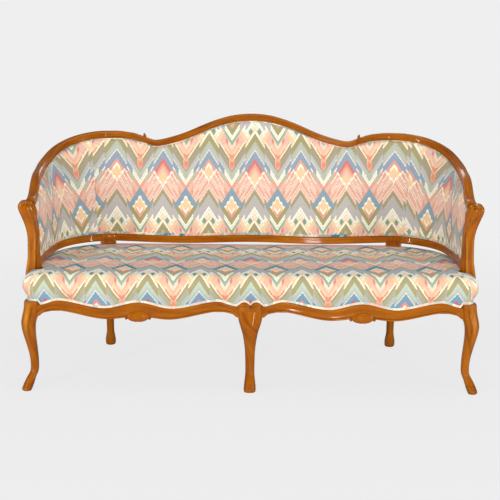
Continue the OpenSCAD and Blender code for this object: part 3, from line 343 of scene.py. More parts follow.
def ramp(tree, value, stops, kind="LINEAR"):
    n = tree.nodes.new("ShaderNodeValToRGB")
    n.color_ramp.interpolation = kind
    e = n.color_ramp.elements
    while len(e) < len(stops):
        e.new(0.5)
    for item, (at, colour) in zip(e, stops):
        item.position = at
        item.color = (*colour, 1) if len(colour) == 3 else colour
    tree.links.new(value, n.inputs[0])
    return n.outputs[0]


def mixed(tree, share, a, b, kind="MIX"):
    n = tree.nodes.new("ShaderNodeMix")
    n.data_type = "RGBA"
    n.blend_type = kind
    for socket, v in ((n.inputs[0], share), (n.inputs[6], a), (n.inputs[7], b)):
        if isinstance(v, (int, float)):
            socket.default_value = v
        elif isinstance(v, tuple):
            socket.default_value = (*v, 1)
        else:
            tree.links.new(v, socket)
    return n.outputs[2]


def grain_noise(tree, coords, scale, detail, roughness=0.55, distortion=0.0, move=(0, 0, 0)):
    m = node_step(tree, "ShaderNodeMapping", {"Scale": scale, "Location": move}, {0: coords})
    n = node_step(tree, "ShaderNodeTexNoise", {
        "Scale": 1, "Detail": detail, "Roughness": roughness, "Distortion": distortion}, {
        "Vector": m.outputs[0]})
    return n.outputs[0]


def bumped(tree, skin, height, strength, distance):
    bump = node_step(tree, "ShaderNodeBump", {"Strength": strength, "Distance": distance}, {
        "Height": height})
    tree.links.new(bump.outputs[0], skin.inputs["Normal"])


def map_of(tree, layer):
    return node_step(tree, "ShaderNodeUVMap", {"uv_map": layer}).outputs[0]


def place_of(tree):
    return tree.nodes.new("ShaderNodeTexCoord").outputs["Object"]


def parts_of(tree, coords):
    parts = node_step(tree, "ShaderNodeSeparateXYZ", {}, {0: coords})
    return parts.outputs["X"], parts.outputs["Y"]


def greys(tree, value, *stops):
    return ramp(tree, value, [(at, (grey,) * 3) for at, grey in stops])


def polished_wood(name, deep, middle, light, read="grain", gloss=True, along="X"):
    """Fruitwood under shellac: slow streaks, growth lines and short pores, with painted shade in the carved
    hollows and a painted highlight, mixed with wear, along the ridges.
    """
    m, t, skin = new_material(name)
    coords = map_of(t, "grain") if read == "grain" else place_of(t)

    def stretch(long, fine):
        return tuple(long if axis == along else fine for axis in "XYZ")
    broad = grain_noise(t, coords, stretch(5, 34), 3, 0.6, 0.6)
    lines = grain_noise(t, coords, stretch(9, 210), 4, 0.62, 0.9, (3, 1, 0))
    pores = grain_noise(t, coords, stretch(130, 1500), 2, 0.5, 0.0, (7, 2, 0))
    wear = grain_noise(t, coords, stretch(11, 14), 4, 0.6, 0.3, (1, 9, 4))
    streak = plus(t, times(t, broad, 0.62), times(t, lines, 0.38))
    colour = ramp(t, streak, [(0.30, deep), (0.47, middle), (0.68, light)])
    pore = ramp(t, pores, [(0.30, (0.45, 0.40, 0.34)), (0.44, (1, 1, 1))])
    colour = mixed(t, 0.5, colour, pore, "MULTIPLY")
    if read == "grain":
        tone = node_step(t, "ShaderNodeAttribute", {"attribute_name": "shade"})
        # Where the shade attribute passes 1, a painted highlight in a lighter honey lies along the ridges,
        # broken up by wear.
        painted_highlight_and_wear = times(t, maths(t, "SUBTRACT", tone.outputs["Fac"], 1.0), 2.0)
        painted_highlight_and_wear = times(t, maths(t, "MINIMUM", maths(t, "MAXIMUM", painted_highlight_and_wear, 0.0), 1.0), wear)
        colour = mixed(t, painted_highlight_and_wear, colour, (0.62, 0.255, 0.030))
        # Below 1 the shade attribute paints shade into the colour: carved hollows, cut lines and hidden
        # faces go darker.
        painted_shade = ramp(t, tone.outputs["Fac"], [
            (0.0, (0.20, 0.15, 0.10)), (0.6, (0.72, 0.66, 0.58)), (1.0, (1, 1, 1))])
        colour = mixed(t, 1.0, colour, painted_shade, "MULTIPLY")
    surface(t, skin, colour, {"Specular IOR Level": 0.14, "Specular Tint": (1.0, 0.5, 0.16, 1)})
    rough = greys(t, wear, (0.35, 0.20), (0.7, 0.36)) if gloss else greys(t, wear, (0.3, 0.6), (0.7, 0.78))
    t.links.new(rough, skin.inputs["Roughness"])
    relief = plus(t, times(t, pores, 0.5), times(t, wear, 1.4))
    bumped(t, skin, relief, 0.22 if gloss else 0.5, 0.0004)
    if gloss:
        surface(t, skin, colour, {"Coat Weight": 0.5, "Coat Roughness": 0.05, "Coat IOR": 1.38})
    return m


honey = polished_wood("honey polish", (0.165, 0.036, 0.0004), (0.30, 0.077, 0.0008), (0.42, 0.130, 0.002))

# share of height, sweep outwards, width, sweep forwards
cabriole = [[0, 1, 0.56, 1], [0.015, 1.03, 0.64, 1.02], [0.055, 0.84, 0.69, 0.8], [0.13, 0.46, 0.6, 0.3],
            [0.19, 0.08, 0.54, -0.19], [0.25, -0.02, 0.54, -0.31], [0.36, 0.02, 0.57, -0.27],
            [0.48, 0.2, 0.66, -0.04], [0.6, 0.42, 0.78, 0.23], [0.68, 0.53, 0.87, 0.36],
            [0.76, 0.52, 0.95, 0.38], [0.83, 0.32, 1, 0.18], [0.92, 0.1, 0.95, 0.03], [1, 0, 0.94, 0]]
centre_width = [[q[0], w] for q, w in zip(cabriole, (
    0.42, 0.45, 0.46, 0.39, 0.35, 0.35, 0.365, 0.4, 0.5, 0.6, 0.76, 0.89, 0.95, 0.95))]
leg_points = 44
block_cut = 15.6
sole_share, top_share, lobe_leg_top = 0.004, 0.995, 0.975


def leg_ring(x, y, z, half_w, half_d, squareness):
    ring = []
    for i in range(leg_points):
        a = 2 * pi * (i + 0.5) / leg_points
        c, s = cos(a), sin(a)
        ring.append(put(x + half_w * (1 if c > 0 else -1) * abs(c) ** (2 / squareness),
                        y + half_d * (1 if s > 0 else -1) * abs(s) ** (2 / squareness), z))
    return ring


def leg_shares():
    """Heights of the rings: close together in the carved toe and at the top."""
    return spread(0, 0.1, 16) + spread(0.1, 0.95, 56)[1:] + spread(0.95, 1, 6)[1:]


def toe(t):
    """The toe's cut lines: a narrow groove over the pad, and a softer one above."""
    return 1 - 0.05 * exp(-((t - 0.052) / 0.006) ** 2) - 0.025 * exp(-((t - 0.082) / 0.007) ** 2)


# Painted shade in the toe's two cut lines, growing darker towards the sole.
def toe_painted_shade(t):
    dark = 0.62 * exp(-((t - 0.052) / 0.006) ** 2) + 0.4 * exp(-((t - 0.082) / 0.008) ** 2)
    return max(0.0, 1 - dark - 0.25 * max(0, 1 - t / 0.05))


def knee_face(u, t):
    """How far the knee's front is cut back beside its ridge, u running from inner to outer edge."""
    shown = smooth_value([[0, 0], [0.5, 0], [0.66, 1], [0.93, 1], [0.985, 0], [1, 0]], t)
    inner = min(1, max(0, (-0.12 - u) / 0.22))
    return shown * (2.4 * inner ** 2 * (3 - 2 * inner) + 1.6 * exp(-((u + 0.16) / 0.07) ** 2))


def corner_leg(side, node, grain_from):
    c = Carving(node, grain_from)
    shares, rings, tones = leg_shares(), [], []
    for t in shares:
        x = leg_x + foot_sweep * smooth_value(cabriole, t, 1)
        y = leg_mid - foot_sweep * smooth_value(cabriole, t, 3)
        w = knee * smooth_value(cabriole, t, 2) / 2 * toe(t)
        if t > top_share:
            w -= 1.2
        elif t < sole_share:
            w -= 1.0
        ring, tone = leg_ring(side * x, y, show_top * t, w, w, 2.3 + 2.7 * t ** 9), []
        middle = put(side * x, y, show_top * t)
        for k, p in enumerate(ring):
            u = side * (p.x - middle.x) / (w * mm)
            cut = knee_face(u, t) if p.y < middle.y else 0
            ring[k] = p + Vector((0, cut * mm, 0))
            # Painted highlight along the knee's ridge and painted shade in the line beside its cut-back
            # facet; the back of the ring keeps only the toe's painted shade.
            shown = smooth_value([[0, 0], [0.55, 0.2], [0.8, 1], [1, 0.6]], t)
            ridge = 0.45 * exp(-((u - 0.25) / 0.3) ** 2) * shown
            line = 0.6 * min(1, knee_face(u, t) * exp(-((u + 0.16) / 0.1) ** 2))
            tone.append(toe_painted_shade(t) * (1 + ridge - line) if p.y < middle.y else toe_painted_shade(t))
        rings.append(ring)
        tones.append(tone)
    c.loft(rings, tones)
    outer, ahead = seat_half - rebate, front_set + rebate
    corners = [(leg_inner, ahead), (leg_inner, leg_block), (outer, leg_block),
               (outer, ahead + block_cut), (outer - block_cut, ahead)]
    c.block([(side * x, y) for x, y in corners], show_top - leg_mid, rail_top)
    c.piece(honey, 50)


both_hands(corner_leg, "front_leg_", (0.37, 1.13))

centre_leg_top = 104
centre_half = centre_leg_top * 0.48
lobe = centre_leg_top / 4
leg_rise = show_top - lobe / 3
crown_tall, crown_edge = 36, 6.5


def centre_section(t):
    """Middle, half width, half depth and squareness of the centre leg at a share of its height."""
    y = leg_mid - foot_sweep * smooth_value(cabriole, t, 3)
    half_w = centre_leg_top * smooth_value(centre_width, t) / 2 * toe(t)
    half_d = knee * smooth_value(cabriole, t, 2) / 2 * toe(t)
    return y, half_w, half_d, 2.3 + 1.0 * t ** 4


c = Carving("front_leg_centre", 2.2)
shares, rings = leg_shares(), []
for t in shares:
    y, w, d, square = centre_section(t)
    if t > lobe_leg_top:
        w, d = w - (t - lobe_leg_top) * 300, d - (t - lobe_leg_top) * 300
    elif t < sole_share:
        w, d = w - 1, d - 1
    rings.append(leg_ring(0, y, leg_rise * t, w, d, square))
c.loft(rings, [[toe_painted_shade(t)] * leg_points for t in shares])


def lobe_top(x):
    """Outline of the two lobes with the nick between them."""
    off = abs(abs(x) - (centre_half - lobe)) / lobe
    return show_top + 2 - lobe + lobe * sqrt(max(0.0, 1 - min(off, 1) ** 2))


def centre_front(x, z):
    """The leg's round front, no further back than the face of the rails beside it."""
    y, w, d, square = centre_section(min(1, z / leg_rise))
    round_front = y - d * max(0, 1 - abs(x / w) ** square) ** (1 / square)
    return min(round_front - 0.7, front_set + 1.5)


across = spread(-centre_half + 0.3, centre_half - 0.3, 72)
crown_rings, crown_tones = [], []
for x in across:
    top = max(lobe_top(x), show_top - lobe * 0.72)
    low, edge, ring, tone = show_top - crown_tall, crown_edge, [], []
    border = max(0.0, 1 - (centre_half - abs(x)) / 3.5)
    for z in spread(low, low + 9, 4) + spread(top - 18, top - edge, 9):
        cut = exp(-((top - 12.5 - z) / 1.5) ** 2)
        under = max(0.0, 1 - (z - low) / 12) ** 2
        ring.append(put(x, centre_front(x, z) + 1.3 * cut + 2.0 * under, z))
        tone.append(1.0 - 0.7 * cut)
    lip = centre_front(x, top - edge)
    for a in (15, 30, 45, 60, 75, 90):
        ring.append(put(x, lip + edge * (1 - cos(radians(a))), top - edge + edge * sin(radians(a))))
        tone.append(0.9 if a < 40 else 0.7)
    ring += [put(x, front_set + rebate + 1, top), put(x, front_set + rebate + 1, low)]
    tone += [0.5, 0.5]
    # Painted shade: darker in the cut line under the lobes, on the rolled-over top of the lip, on the hidden
    # back, in the nick between the lobes and at the crown's sides.
    nick = exp(-(x / 2.0) ** 2) * 0.75
    shown = [max(0.0, v - (nick if k > 10 else 0) - 0.6 * border) for k, v in enumerate(tone)]
    crown_rings.append(ring)
    crown_tones.append(shown)
c.loft(crown_rings, crown_tones, grain_around=True)
c.block([(-centre_half, front_set + rebate), (-centre_half, leg_block), (centre_half, leg_block),
         (centre_half, front_set + rebate)], show_top - leg_mid, rail_top)
c.piece(honey, 50)

# Front seat rails
# Two polished rails tenoned into the legs. Both edges run in a wave; the face is worked to a
# shallow hollow over a round bead, and the rebate behind its top takes the cover's tacks.
bay_mid, bay_half = (leg_inner + centre_half) / 2, (leg_inner - centre_half) / 2
wave_top = [[0, 0.8], [0.345, 0], [0.79, 1], [1, 0.38]]
wave_low = [[0, 0.32], [0.345, 0], [0.79, 1], [0.95, 0.72], [1, 0.3]]
wave_top_z, wave_top_rise, wave_low_z, wave_low_rise = 335, 30, 292, 33


def level_ends(table, x):
    """The same curve, level at its two ends."""
    return smooth_value(table, x, level=True)


def bay_share(x):
    return abs(abs(x) - bay_mid) / bay_half


def front_top(x):
    return wave_top_z + wave_top_rise * level_ends(wave_top, bay_share(x))


def front_low(x):
    return wave_low_z + wave_low_rise * level_ends(wave_low, bay_share(x))


def rail_profile(low, top):
    """Points of the show face from the bead up to the rounded top edge, with the shade of each."""
    points = [(2.4, 0.0, 0.8), (0.9, 0.5, 0.9)]
    for a in spread(-60, 75, 7):
        points.append((2.6 - 2.6 * cos(radians(a)), 3.4 + 3.4 * sin(radians(a)), 1.0))
    # The quirk above the bead gets painted shade.
    points += [(2.9, 6.9, 0.25), (1.9, 7.9, 0.35), (1.7, 9.6, 0.9)]
    for u in spread(0.12, 0.86, 9):
        points.append((1.6 + 1.5 * sin(pi * u), 10 + (top - low - 17) * u, 0.92))
    for a in spread(0, 80, 5):
        points.append((2.2 + 4.5 * (1 - cos(radians(a))), top - low - 5 + 5 * sin(radians(a)), 1.0))
    return points


def rail_foot(c, side, leg_face, towards, wide, drop, past):
    """Leads the rail's lower edge down in a quarter round, past the face where the leg draws in."""
    start = front_low(leg_face + towards * wide)
    back = front_set + rail_thick - 2
    rings = []
    for d in spread(-past, wide, 16):
        low = start - drop * (1 - sqrt(max(0, 1 - ((wide - d) / (wide + past)) ** 2)))
        face = [(3.0, 0), (1.1, 1.0), (0.3, 3.2), (0.3, 7.5), (1.0, 12), (4.0, 15)]
        x = side * (leg_face + towards * d)
        ring = [put(x, front_set + o, low + h) for o, h in face]
        rings.append(ring + [put(x, back, low + 15), put(x, back, low)])
    # Painted shade: darker along the lower edge, over the top and on the back.
    c.loft(rings, [0.85, 0.95, 1, 1, 0.95, 0.8, 0.6, 0.6])


def front_rail(side, node, grain_from):
    c = Carving(node, grain_from)
    rings, tones = [], []
    for x in spread(centre_half - 5, leg_inner + 10, 100):
        low, top = front_low(x), front_top(x)
        face = rail_profile(low, top)
        ring = [put(side * x, front_set + o, low + h) for o, h, tone in face]
        ring += [put(side * x, front_set + o, h) for o, h in (
            (rebate, top), (rebate, rail_top), (rail_thick, rail_top), (rail_thick, low))]
        rings.append(ring)
        # The rebate and the hidden back get painted shade.
        tones.append([tone for o, h, tone in face] + [0.5] * 4)
    c.loft(rings, tones)
    rail_foot(c, side, leg_inner, -1, wide=28, drop=90, past=22)
    rail_foot(c, side, centre_half, 1, wide=18, drop=62, past=15)
    c.piece(honey, 55)


both_hands(front_rail, "front_rail_", (3.1, 4.4))

# Carved shells
# A low rounded shell is glued under the middle of each front rail, fluted only at its rim,
# and stands between two small turned-in scrolls cut from the same wood.
shell_half, shell_tall, shell_deep, shell_drop = 43, 42, 10, 21
shell_mid_z = front_low(bay_mid) - shell_drop + shell_tall / 2
rope_steps, rope_sides, disc_sides = 45, 10, 28


def shell(c, x0):
    """A swelling of the rail's face that hangs below its edge, scalloped only along its foot."""
    rings, tones = [], []
    around = 108
    for share in [1.0, 1.0] + [cos(radians(a)) for a in spread(5, 85, 18)] + [0.02]:
        base = not rings
        lift = shell_deep * (0.10 + 0.90 * sqrt(max(0, 1 - share ** 2.0)))
        ring, tone = [], []
        for i in range(around):
            a = 2 * pi * i / around
            foot = max(0.0, -sin(a)) ** 0.5
            flute = 0.5 - 0.5 * cos(a * 18)
            r = share * (1 - 0.04 * flute * foot * share ** 4)
            cut = 0.9 * flute * foot * share ** 5
            fade = 1 - 0.75 * max(0.0, sin(a)) * share ** 2
            wide = shell_half * (abs(cos(a)) ** 0.86) * (1 if cos(a) > 0 else -1)
            ring.append(put(x0 + r * wide, front_set + (1.2 if base else 1.0 - lift * fade + cut),
                            shell_mid_z + shell_tall / 2 * r * sin(a)))
            # Painted shade in the flutes and along the shell's lower rim.
            tone.append(1 - 0.35 * flute * foot * share ** 4 - (0.25 * foot if share > 0.995 else 0))
        rings.append(ring)
        tones.append(tone)
    c.loft(rings, tones)


def scroll(c, x0, z0, hand):
    """A small volute: a rope of wood that winds in and rises at its eye."""
    rings, tones = [], []
    for u in [k / rope_steps for k in range(rope_steps + 1)]:
        a = hand * (-1.9 * pi * u) + pi / 2
        r, half = 4.4 * (1 - 0.86 * u), 2.1 * (1 - 0.45 * u)
        centre_x, centre_z = x0 + r * cos(a), z0 + r * sin(a)
        turns = [2 * pi * j / rope_sides for j in range(rope_sides)]
        rings.append([put(centre_x + half * cos(b) * cos(a),
                          front_set - 2.2 - 1.6 * u - half * 1.3 * sin(b),
                          centre_z + half * cos(b) * sin(a)) for b in turns])
        # Painted shade on the back of the rope, which stays lighter on its front.
        tones.append([0.55 + 0.45 * max(0, sin(b)) for b in turns])
    c.loft(rings, tones)
    disc = []
    for y, r in ((0.5, 6), (-2.2, 6), (-3.4, 5.2), (-3.6, 1)):
        turns = [2 * pi * j / disc_sides for j in range(disc_sides)]
        disc.append([put(x0 + r * cos(a), front_set + y, z0 + r * sin(a)) for a in turns])
    # The disc behind the scroll gets painted shade.
    c.loft(disc, [0.55] * disc_sides)


c = Carving("rail_shells", 5.0)
for side in (-1, 1):
    shell(c, side * bay_mid)
    for hand in (-1, 1):
        scroll(c, side * bay_mid + hand * (shell_half + 2.4), shell_mid_z - 5, hand)
c.piece(honey, 60)

# Back frame in plan
# Everything in the back follows one line in plan: nearly straight beside the arm posts, round
# the two corners, and straight behind the seat. The frame leans out from the lower rail up.
side_x, wall_r, side_turn, arm_lean = seat_half - frame_in, 240, 10, 3
post_back, post_deep = 135, 43
side_r = wall_r + (wall_back - wall_r - post_back) / sin(radians(side_turn))
corner_x = side_x - side_r + (side_r - wall_r) * cos(radians(side_turn))
corner_y = wall_back - wall_r
run_side = side_r * radians(side_turn)
run_corner = wall_r * radians(90 - side_turn)
run_half = run_side + run_corner + corner_x
stile_x, stile_wide = seat_half - 253, 60


def left_place(s, out):
    """Place in plan at a distance s along the line from the left post, out being away from the sitter."""
    if s < run_side:
        a = s / side_r
        x0, y0, r = -corner_x + (side_r - wall_r) * cos(radians(side_turn)), post_back, side_r
    elif s < run_side + run_corner:
        a = radians(side_turn) + (s - run_side) / wall_r
        x0, y0, r = -corner_x, corner_y, wall_r
    else:
        return s - run_half, wall_back + out
    return x0 - cos(a) * (r + out), y0 + sin(a) * (r + out)


def lean_at(q):
    return level_ends([[0, arm_lean], [run_side + run_corner * 0.7, lean_back]], q)


def folded(s):
    """The same distance measured from the nearer arm post."""
    return min(s, 2 * run_half - s)


def upright(s, z, out):
    x, y = left_place(folded(s), out)
    return put(-x if s > run_half else x, y, z)


def wall(s, z, out):
    """A place on the leaning back frame."""
    return upright(s, z, out + (z - lower_mid_z) * tan(radians(lean_at(folded(s)))))


def run_at_x(x):
    if x <= corner_x:
        return run_half - x
    return run_side + wall_r * (acos((x - corner_x) / wall_r) - radians(side_turn))


stile_mid = run_at_x(stile_x)
stile_a, stile_b = stile_mid - stile_wide / 2, stile_mid + stile_wide / 2
hump_s, dip_s = run_half - 595, run_half - 420
arm_end_z, hump_z, dip_z = 750, 949, 912
wing = [[0, 0], [0.24, 0.335], [0.42, 0.45], [0.53, 0.57], [0.66, 0.77], [0.79, 0.92], [0.9, 0.99], [1, 1]]
fall = [[0, 0], [0.45, 0.22], [0.72, 0.62], [1, 1]]
rise = [[0, 0], [0.18, 0.13], [0.34, 0.33], [0.5, 0.58], [0.66, 0.8], [0.82, 0.95], [1, 1]]


def crest_top(s):
    q = folded(s)
    if q < hump_s:
        return arm_end_z + (hump_z - arm_end_z) * level_ends(wing, q / hump_s)
    if q < dip_s:
        return hump_z - (hump_z - dip_z) * level_ends(fall, (q - hump_s) / (dip_s - hump_s))
    return dip_z + (crest_mid_z - dip_z) * level_ends(rise, (q - dip_s) / (run_half - dip_s))


def crest_face(s):
    q = folded(s)
    return crest_face_h * (1 - 0.16 * exp(-((q - dip_s) / 105) ** 2))


def crest_low(s):
    return crest_top(s) - crest_face(s)


def lower_mid(s):
    q = folded(s)
    return lower_mid_z - 8 * level_ends([[0, 0.15], [0.48, 1], [0.95, 0], [1, 0]], (run_half - q) / stile_x)


lower_h = 31


def lower_top(s):
    return lower_mid(s) + lower_h / 2


def steps(a, b, about=11):
    return spread(a, b, max(2, round((b - a) / about)))


webbing_out, tongue, cloth, gap = frame_thick * 0.36, 12, 2.4, 0.3
tongue_back = frame_thick - cloth - 2 * gap

# Side rails
# Each side rail starts straight behind the corner leg and bends round with the back to the
# back leg. Only its lower half is polished; above the step it is rebated for the cover.


def side_rail(side, node, grain_from):
    c = Carving(node, grain_from)
    # The last number of each point is its painted shade: darker under the lower edge, in the groove below
    # the step, in the rebate and on the hidden back.
    face = [(5.0, 318.0, 0.5), (2.0, 318.3, 0.8), (0.6, 319.6, 0.9), (0.0, 321.5, 1.0),
            (0, 335, 1.0), (0, 349, 1.0), (0.5, 352.6, 0.9), (1.5, 353.4, 0.3),
            (0.5, 354.2, 0.9), (0, 356, 1.0), (0.4, 359.2, 1.0), (1.8, 360.8, 0.9),
            (rebate, show_top, 0.5), (rebate, rail_top, 0.5),
            (rail_thick, rail_top, 0.6), (rail_thick, rail_low, 0.6)]
    rings = []
    for y in spread(leg_block - 1, post_back - 4, 8):
        rings.append([put(side * (seat_half - o), y, h) for o, h, tone in face])
    for s in steps(0, stile_a + 1, 9):
        ring = [upright(s, h, frame_in - o) for o, h, tone in face]
        rings.append(mirrored(ring, -side))
    c.loft(rings, [tone for o, h, tone in face])
    c.piece(honey, 50)


both_hands(side_rail, "side_rail_", (6.2, 7.5))

# Back legs
# Each back leg is one length of wood: a round tapered shank on a pad foot, a square block
# that takes the four rails, with two cut lines across its face, and a thin stile above.
block_low, leg_thick, block_cuts = 300, 33, (478, 486)
foot_out, tongue_half = 23, 25
back_taper = [[0, 1.2], [0.02, 1.34], [0.08, 1.36], [0.14, 1.2], [0.2, 1.02],
              [0.3, 1], [0.6, 1.12], [0.85, 1.3], [1, 1.36]]


def back_leg(side, node, grain_from):
    c = Carving(node, grain_from)
    foot = upright(stile_mid, 0, foot_out)
    fx, fy = foot.x / mm, foot.y / mm + y_middle
    rings, heights = [], spread(0, 0.24, 22) + spread(0.24, 1, 30)[1:]
    for t in heights:
        half = leg_thick * smooth_value(back_taper, t) / 2
        if t < sole_share:
            half -= 1.2
        rings.append(leg_ring(-side * fx, fy, (block_low + 1) * t, half, half, 2.05 + 2 * t ** 3))
    # Painted shade in the groove over the pad foot.
    pad_tones = [max(0.3, 1 - 0.5 * exp(-((t - 0.012) / 0.01) ** 2)) for t in heights]
    c.loft(rings, [[tone] * leg_points for tone in pad_tones])
    top = lower_top(stile_mid)
    levels = [block_low, block_low + 2] + spread(block_low + 6, 466, 9)
    levels += spread(468, 494, 36) + [top - 2, top]
    rings, tones = [], []
    for z in levels:
        deep = sum(1.9 * exp(-((z - at) / 1.4) ** 2) for at in block_cuts)
        edge = 1.6 if z in (block_low, top) else 0
        ring = []
        for s in spread(stile_a, stile_b, 8):
            at_side = s in (stile_a, stile_b)
            trim = edge if at_side else 0
            out = -4 + deep + edge + (1.0 if at_side else 0)
            ring.append(upright(s + (trim if s == stile_a else -trim), z, out))
        ring += [upright(s, z, frame_in - edge) for s in (stile_b, stile_mid, stile_a)]
        rings.append(mirrored(ring, -side))
        # Painted shade in the two cut lines across the block.
        tones.append([1 - 0.7 * min(1, deep / 1.9)] * len(ring))
    c.loft(rings, tones)
    rings = []
    for s in spread(stile_mid - tongue_half, stile_mid + tongue_half, 6):
        low, high = lower_mid(s), crest_low(s) - tongue - 0.4
        ring = [wall(s, z, out) for z, out in (
            (low, webbing_out), (high, webbing_out), (high, tongue_back), (low, tongue_back))]
        rings.append(mirrored(ring, -side))
    c.loft(rings)
    c.piece(honey, 42)


both_hands(back_leg, "back_leg_", (8.3, 9.1))

# Lower back rails
# Three lengths below the stuffed back, open to the seat: one between the back legs, and one
# each from a back leg round the corner to the arm post. A cut line runs along the middle.


def lower_face(s):
    low, top, h = lower_mid(s) - lower_h / 2, lower_top(s), lower_h
    # Each point's last number is its painted shade: darker along the edges, in the cut line along the middle
    # and on the hidden back.
    points = [(2.6, low, 0.8), (0.8, low + 0.9, 0.95), (0.0, low + 3.4, 1.0), (0.0, low + 0.3 * h, 1.0),
              (0.0, low + 0.47 * h, 1.0), (0.1, low + 0.53 * h, 0.95), (0.35, low + 0.56 * h, 0.85),
              (0.35, low + 0.59 * h, 0.85), (0.1, low + 0.62 * h, 0.95), (0.0, low + 0.67 * h, 1.0),
              (0.1, low + 0.8 * h, 1.0), (0.5, top - 2.2, 1.0),
              (1.5, top - 0.8, 0.9), (3.6, top, 0.7)]
    back = [(webbing_out, top, 0.5), (webbing_out, top + tongue, 0.5),
            (tongue_back, top + tongue, 0.5), (tongue_back, top, 0.5),
            (frame_thick - 2, top, 0.8), (frame_thick, top - 2, 1.0),
            (frame_thick, low + 2, 1.0), (frame_thick - 2, low, 0.8)]
    return points + back


def lower_rail(a, b, node, grain_from, hand=1):
    c = Carving(node, grain_from)
    rings = []
    for s in steps(a, b, 9):
        ring = [wall(s, h, o) for o, h, tone in lower_face(s)]
        rings.append(mirrored(ring, hand))
    c.loft(rings, [tone for o, h, tone in lower_face(a)])
    c.piece(honey, 50)


lower_rail(stile_b - 1, 2 * run_half - stile_b + 1, "lower_back_rail", 10.4)
lower_rail(0, stile_a + 1, "lower_arm_rail_left", 11.7)
lower_rail(0, stile_a + 1, "lower_arm_rail_right", 12.6, -1)

# Arm posts
# Each post stands on the side rail, narrows to a waist and swells outwards and forwards into
# a scrolled knob that hides the crest rail's end. Its front is hollow between two ridges.
knob_out, knob_top, post_wide, flute = 38, 739, 38, 4
tenon_half_wide, tenon_half_deep, tenon_long = 6, 13, 26
# share of height, share of the knob's reach outwards, width, reach forwards
post_shape = [[0, 0.34, 0.9, 0], [0.13, 0.38, 0.92, 0], [0.22, 0.46, 1.06, 0.04], [0.3, 0.34, 1.02, 0.02],
              [0.4, 0.18, 0.92, 0], [0.52, 0.13, 0.91, 0], [0.64, 0.12, 0.98, 0], [0.74, 0.3, 1.08, 0.1],
              [0.84, 0.64, 1.24, 0.3], [0.91, 0.9, 1.26, 0.42], [0.96, 0.96, 1.14, 0.36],
              [0.99, 0.85, 0.9, 0.2], [1, 0.74, 0.66, 0.1]]


def spline_place(corners, u):
    """Place at a share of the stretch between the two middle points of four."""
    return tuple(0.5 * (2 * b + (c - a) * u + (2 * a - 5 * b + 4 * c - d) * u ** 2
                        + (3 * b - a - 3 * c + d) * u ** 3) for a, b, c, d in zip(*corners))


def through_points(points, per):
    """Closed smooth line through control points."""
    n, line = len(points), []
    for i in range(n):
        corners = [points[(i + k - 1) % n] for k in range(4)]
        line += [spline_place(corners, j / per) for j in range(per)]
    return line


def arm_post(side, node, grain_from):
    c = Carving(node, grain_from)
    rings, tones = [], []
    per = 5
    for t in spread(0, 0.7, 30) + spread(0.7, 0.94, 34)[1:] + spread(0.94, 1, 16)[1:]:
        z = show_top + (knob_top - show_top) * t
        reach, wide, ahead = (smooth_value(post_shape, t, k) for k in (1, 2, 3))
        outer = -seat_half + knob_out * 0.02 - knob_out * (reach - 0.02)
        inner = outer + post_wide * wide
        front = post_back - post_deep - knob_out / 3 * ahead
        close = max(0, (t - 0.95) * 10)
        frame_x = -side_x - (z - lower_mid_z) * tan(radians(arm_lean))
        back_in = max(inner + flute, min(frame_x, inner + flute * 3)) - flute * 2 * close
        cut = 0.8 * exp(-((t - 0.965) / 0.006) ** 2)
        dome = 0 if t < 0.93 else 8 * (1 - sqrt(max(0, 1 - ((t - 0.93) / 0.07) ** 2)))
        hollow = 2.2 * smooth_value([[0, 1], [0.55, 1], [0.75, 0], [1, 0]], t)
        flank = flute * (0.9 if t < 0.72 else 0.9 - 0.7 * min(1, (t - 0.72) / 0.1))
        points = [(outer + 2 + dome, post_back),
                  (outer + dome, post_back - 8),
                  (outer + dome + cut * 0.4, front + post_deep * 0.36 + dome),
                  (outer + 2.4 + dome + cut, front + 6.4 + dome + cut * 0.6),
                  (outer + 8, front + 1.6 + dome * 0.9 + cut),
                  ((outer + inner) / 2, front + dome * 0.8 + cut + hollow),
                  (inner - 6.4, front + 2 + dome * 0.9 + cut),
                  (inner - 1.6 - dome * 0.5, front + 7.2 + dome + cut * 0.6),
                  (inner - flank * 0.25 - dome, front + post_deep * 0.34 + flank * 0.55),
                  (((inner + back_in) / 2) - dome, front + post_deep * 0.48),
                  (back_in - dome * 0.4, post_back - post_deep * 0.3),
                  (back_in - dome * 0.4, post_back)]
        line = through_points(points, per)
        if t < (rail_top - show_top) / (knob_top - show_top):
            line = [(min(x, -seat_half + rebate - 0.2), y) for x, y in line]
        rings.append([put(-side * x, y, z) for x, y in line])
        # Painted shade in the cut line at the knob's foot, under its swell and in the groove on the post's
        # inner side; a painted highlight on the two ridges of the hollow front.
        dark = 0.6 * min(1, cut / 0.8) + 0.25 * exp(-((t - 0.84) / 0.05) ** 2)
        tone = []
        for j in range(len(line)):
            groove = 0.45 * exp(-((j / per - 8) / 0.5) ** 2) if t < 0.8 else 0
            ridges = exp(-((j / per - 3.7) / 0.45) ** 2) + exp(-((j / per - 6.4) / 0.4) ** 2)
            knob_cut = dark if 2 * per <= j <= 8 * per else 0
            tone.append(max(0.05, 1 - knob_cut - groove + 0.25 * hollow * ridges))
        tones.append(tone)
    c.loft(rings, tones)
    x0, y0 = seat_half - rebate - (rail_thick - rebate) / 2, post_back - post_deep / 2
    tenon = [(side * (x0 + x * tenon_half_wide), y0 + y * tenon_half_deep)
             for x, y in ((-1, -1), (1, -1), (1, 1), (-1, 1))]
    c.block(tenon, rail_top - tenon_long, rail_top + 1)
    c.piece(honey, 55)


both_hands(arm_post, "arm_post_", (13.3, 14.2))

# Crest rail
# The crest rail is carved in three lengths and dowelled where the back falls to its two dips.
# Its face is moulded: a bead beside the cloth, a hollow, and a round top edge. A small
# rounded nib stands up at each dip.


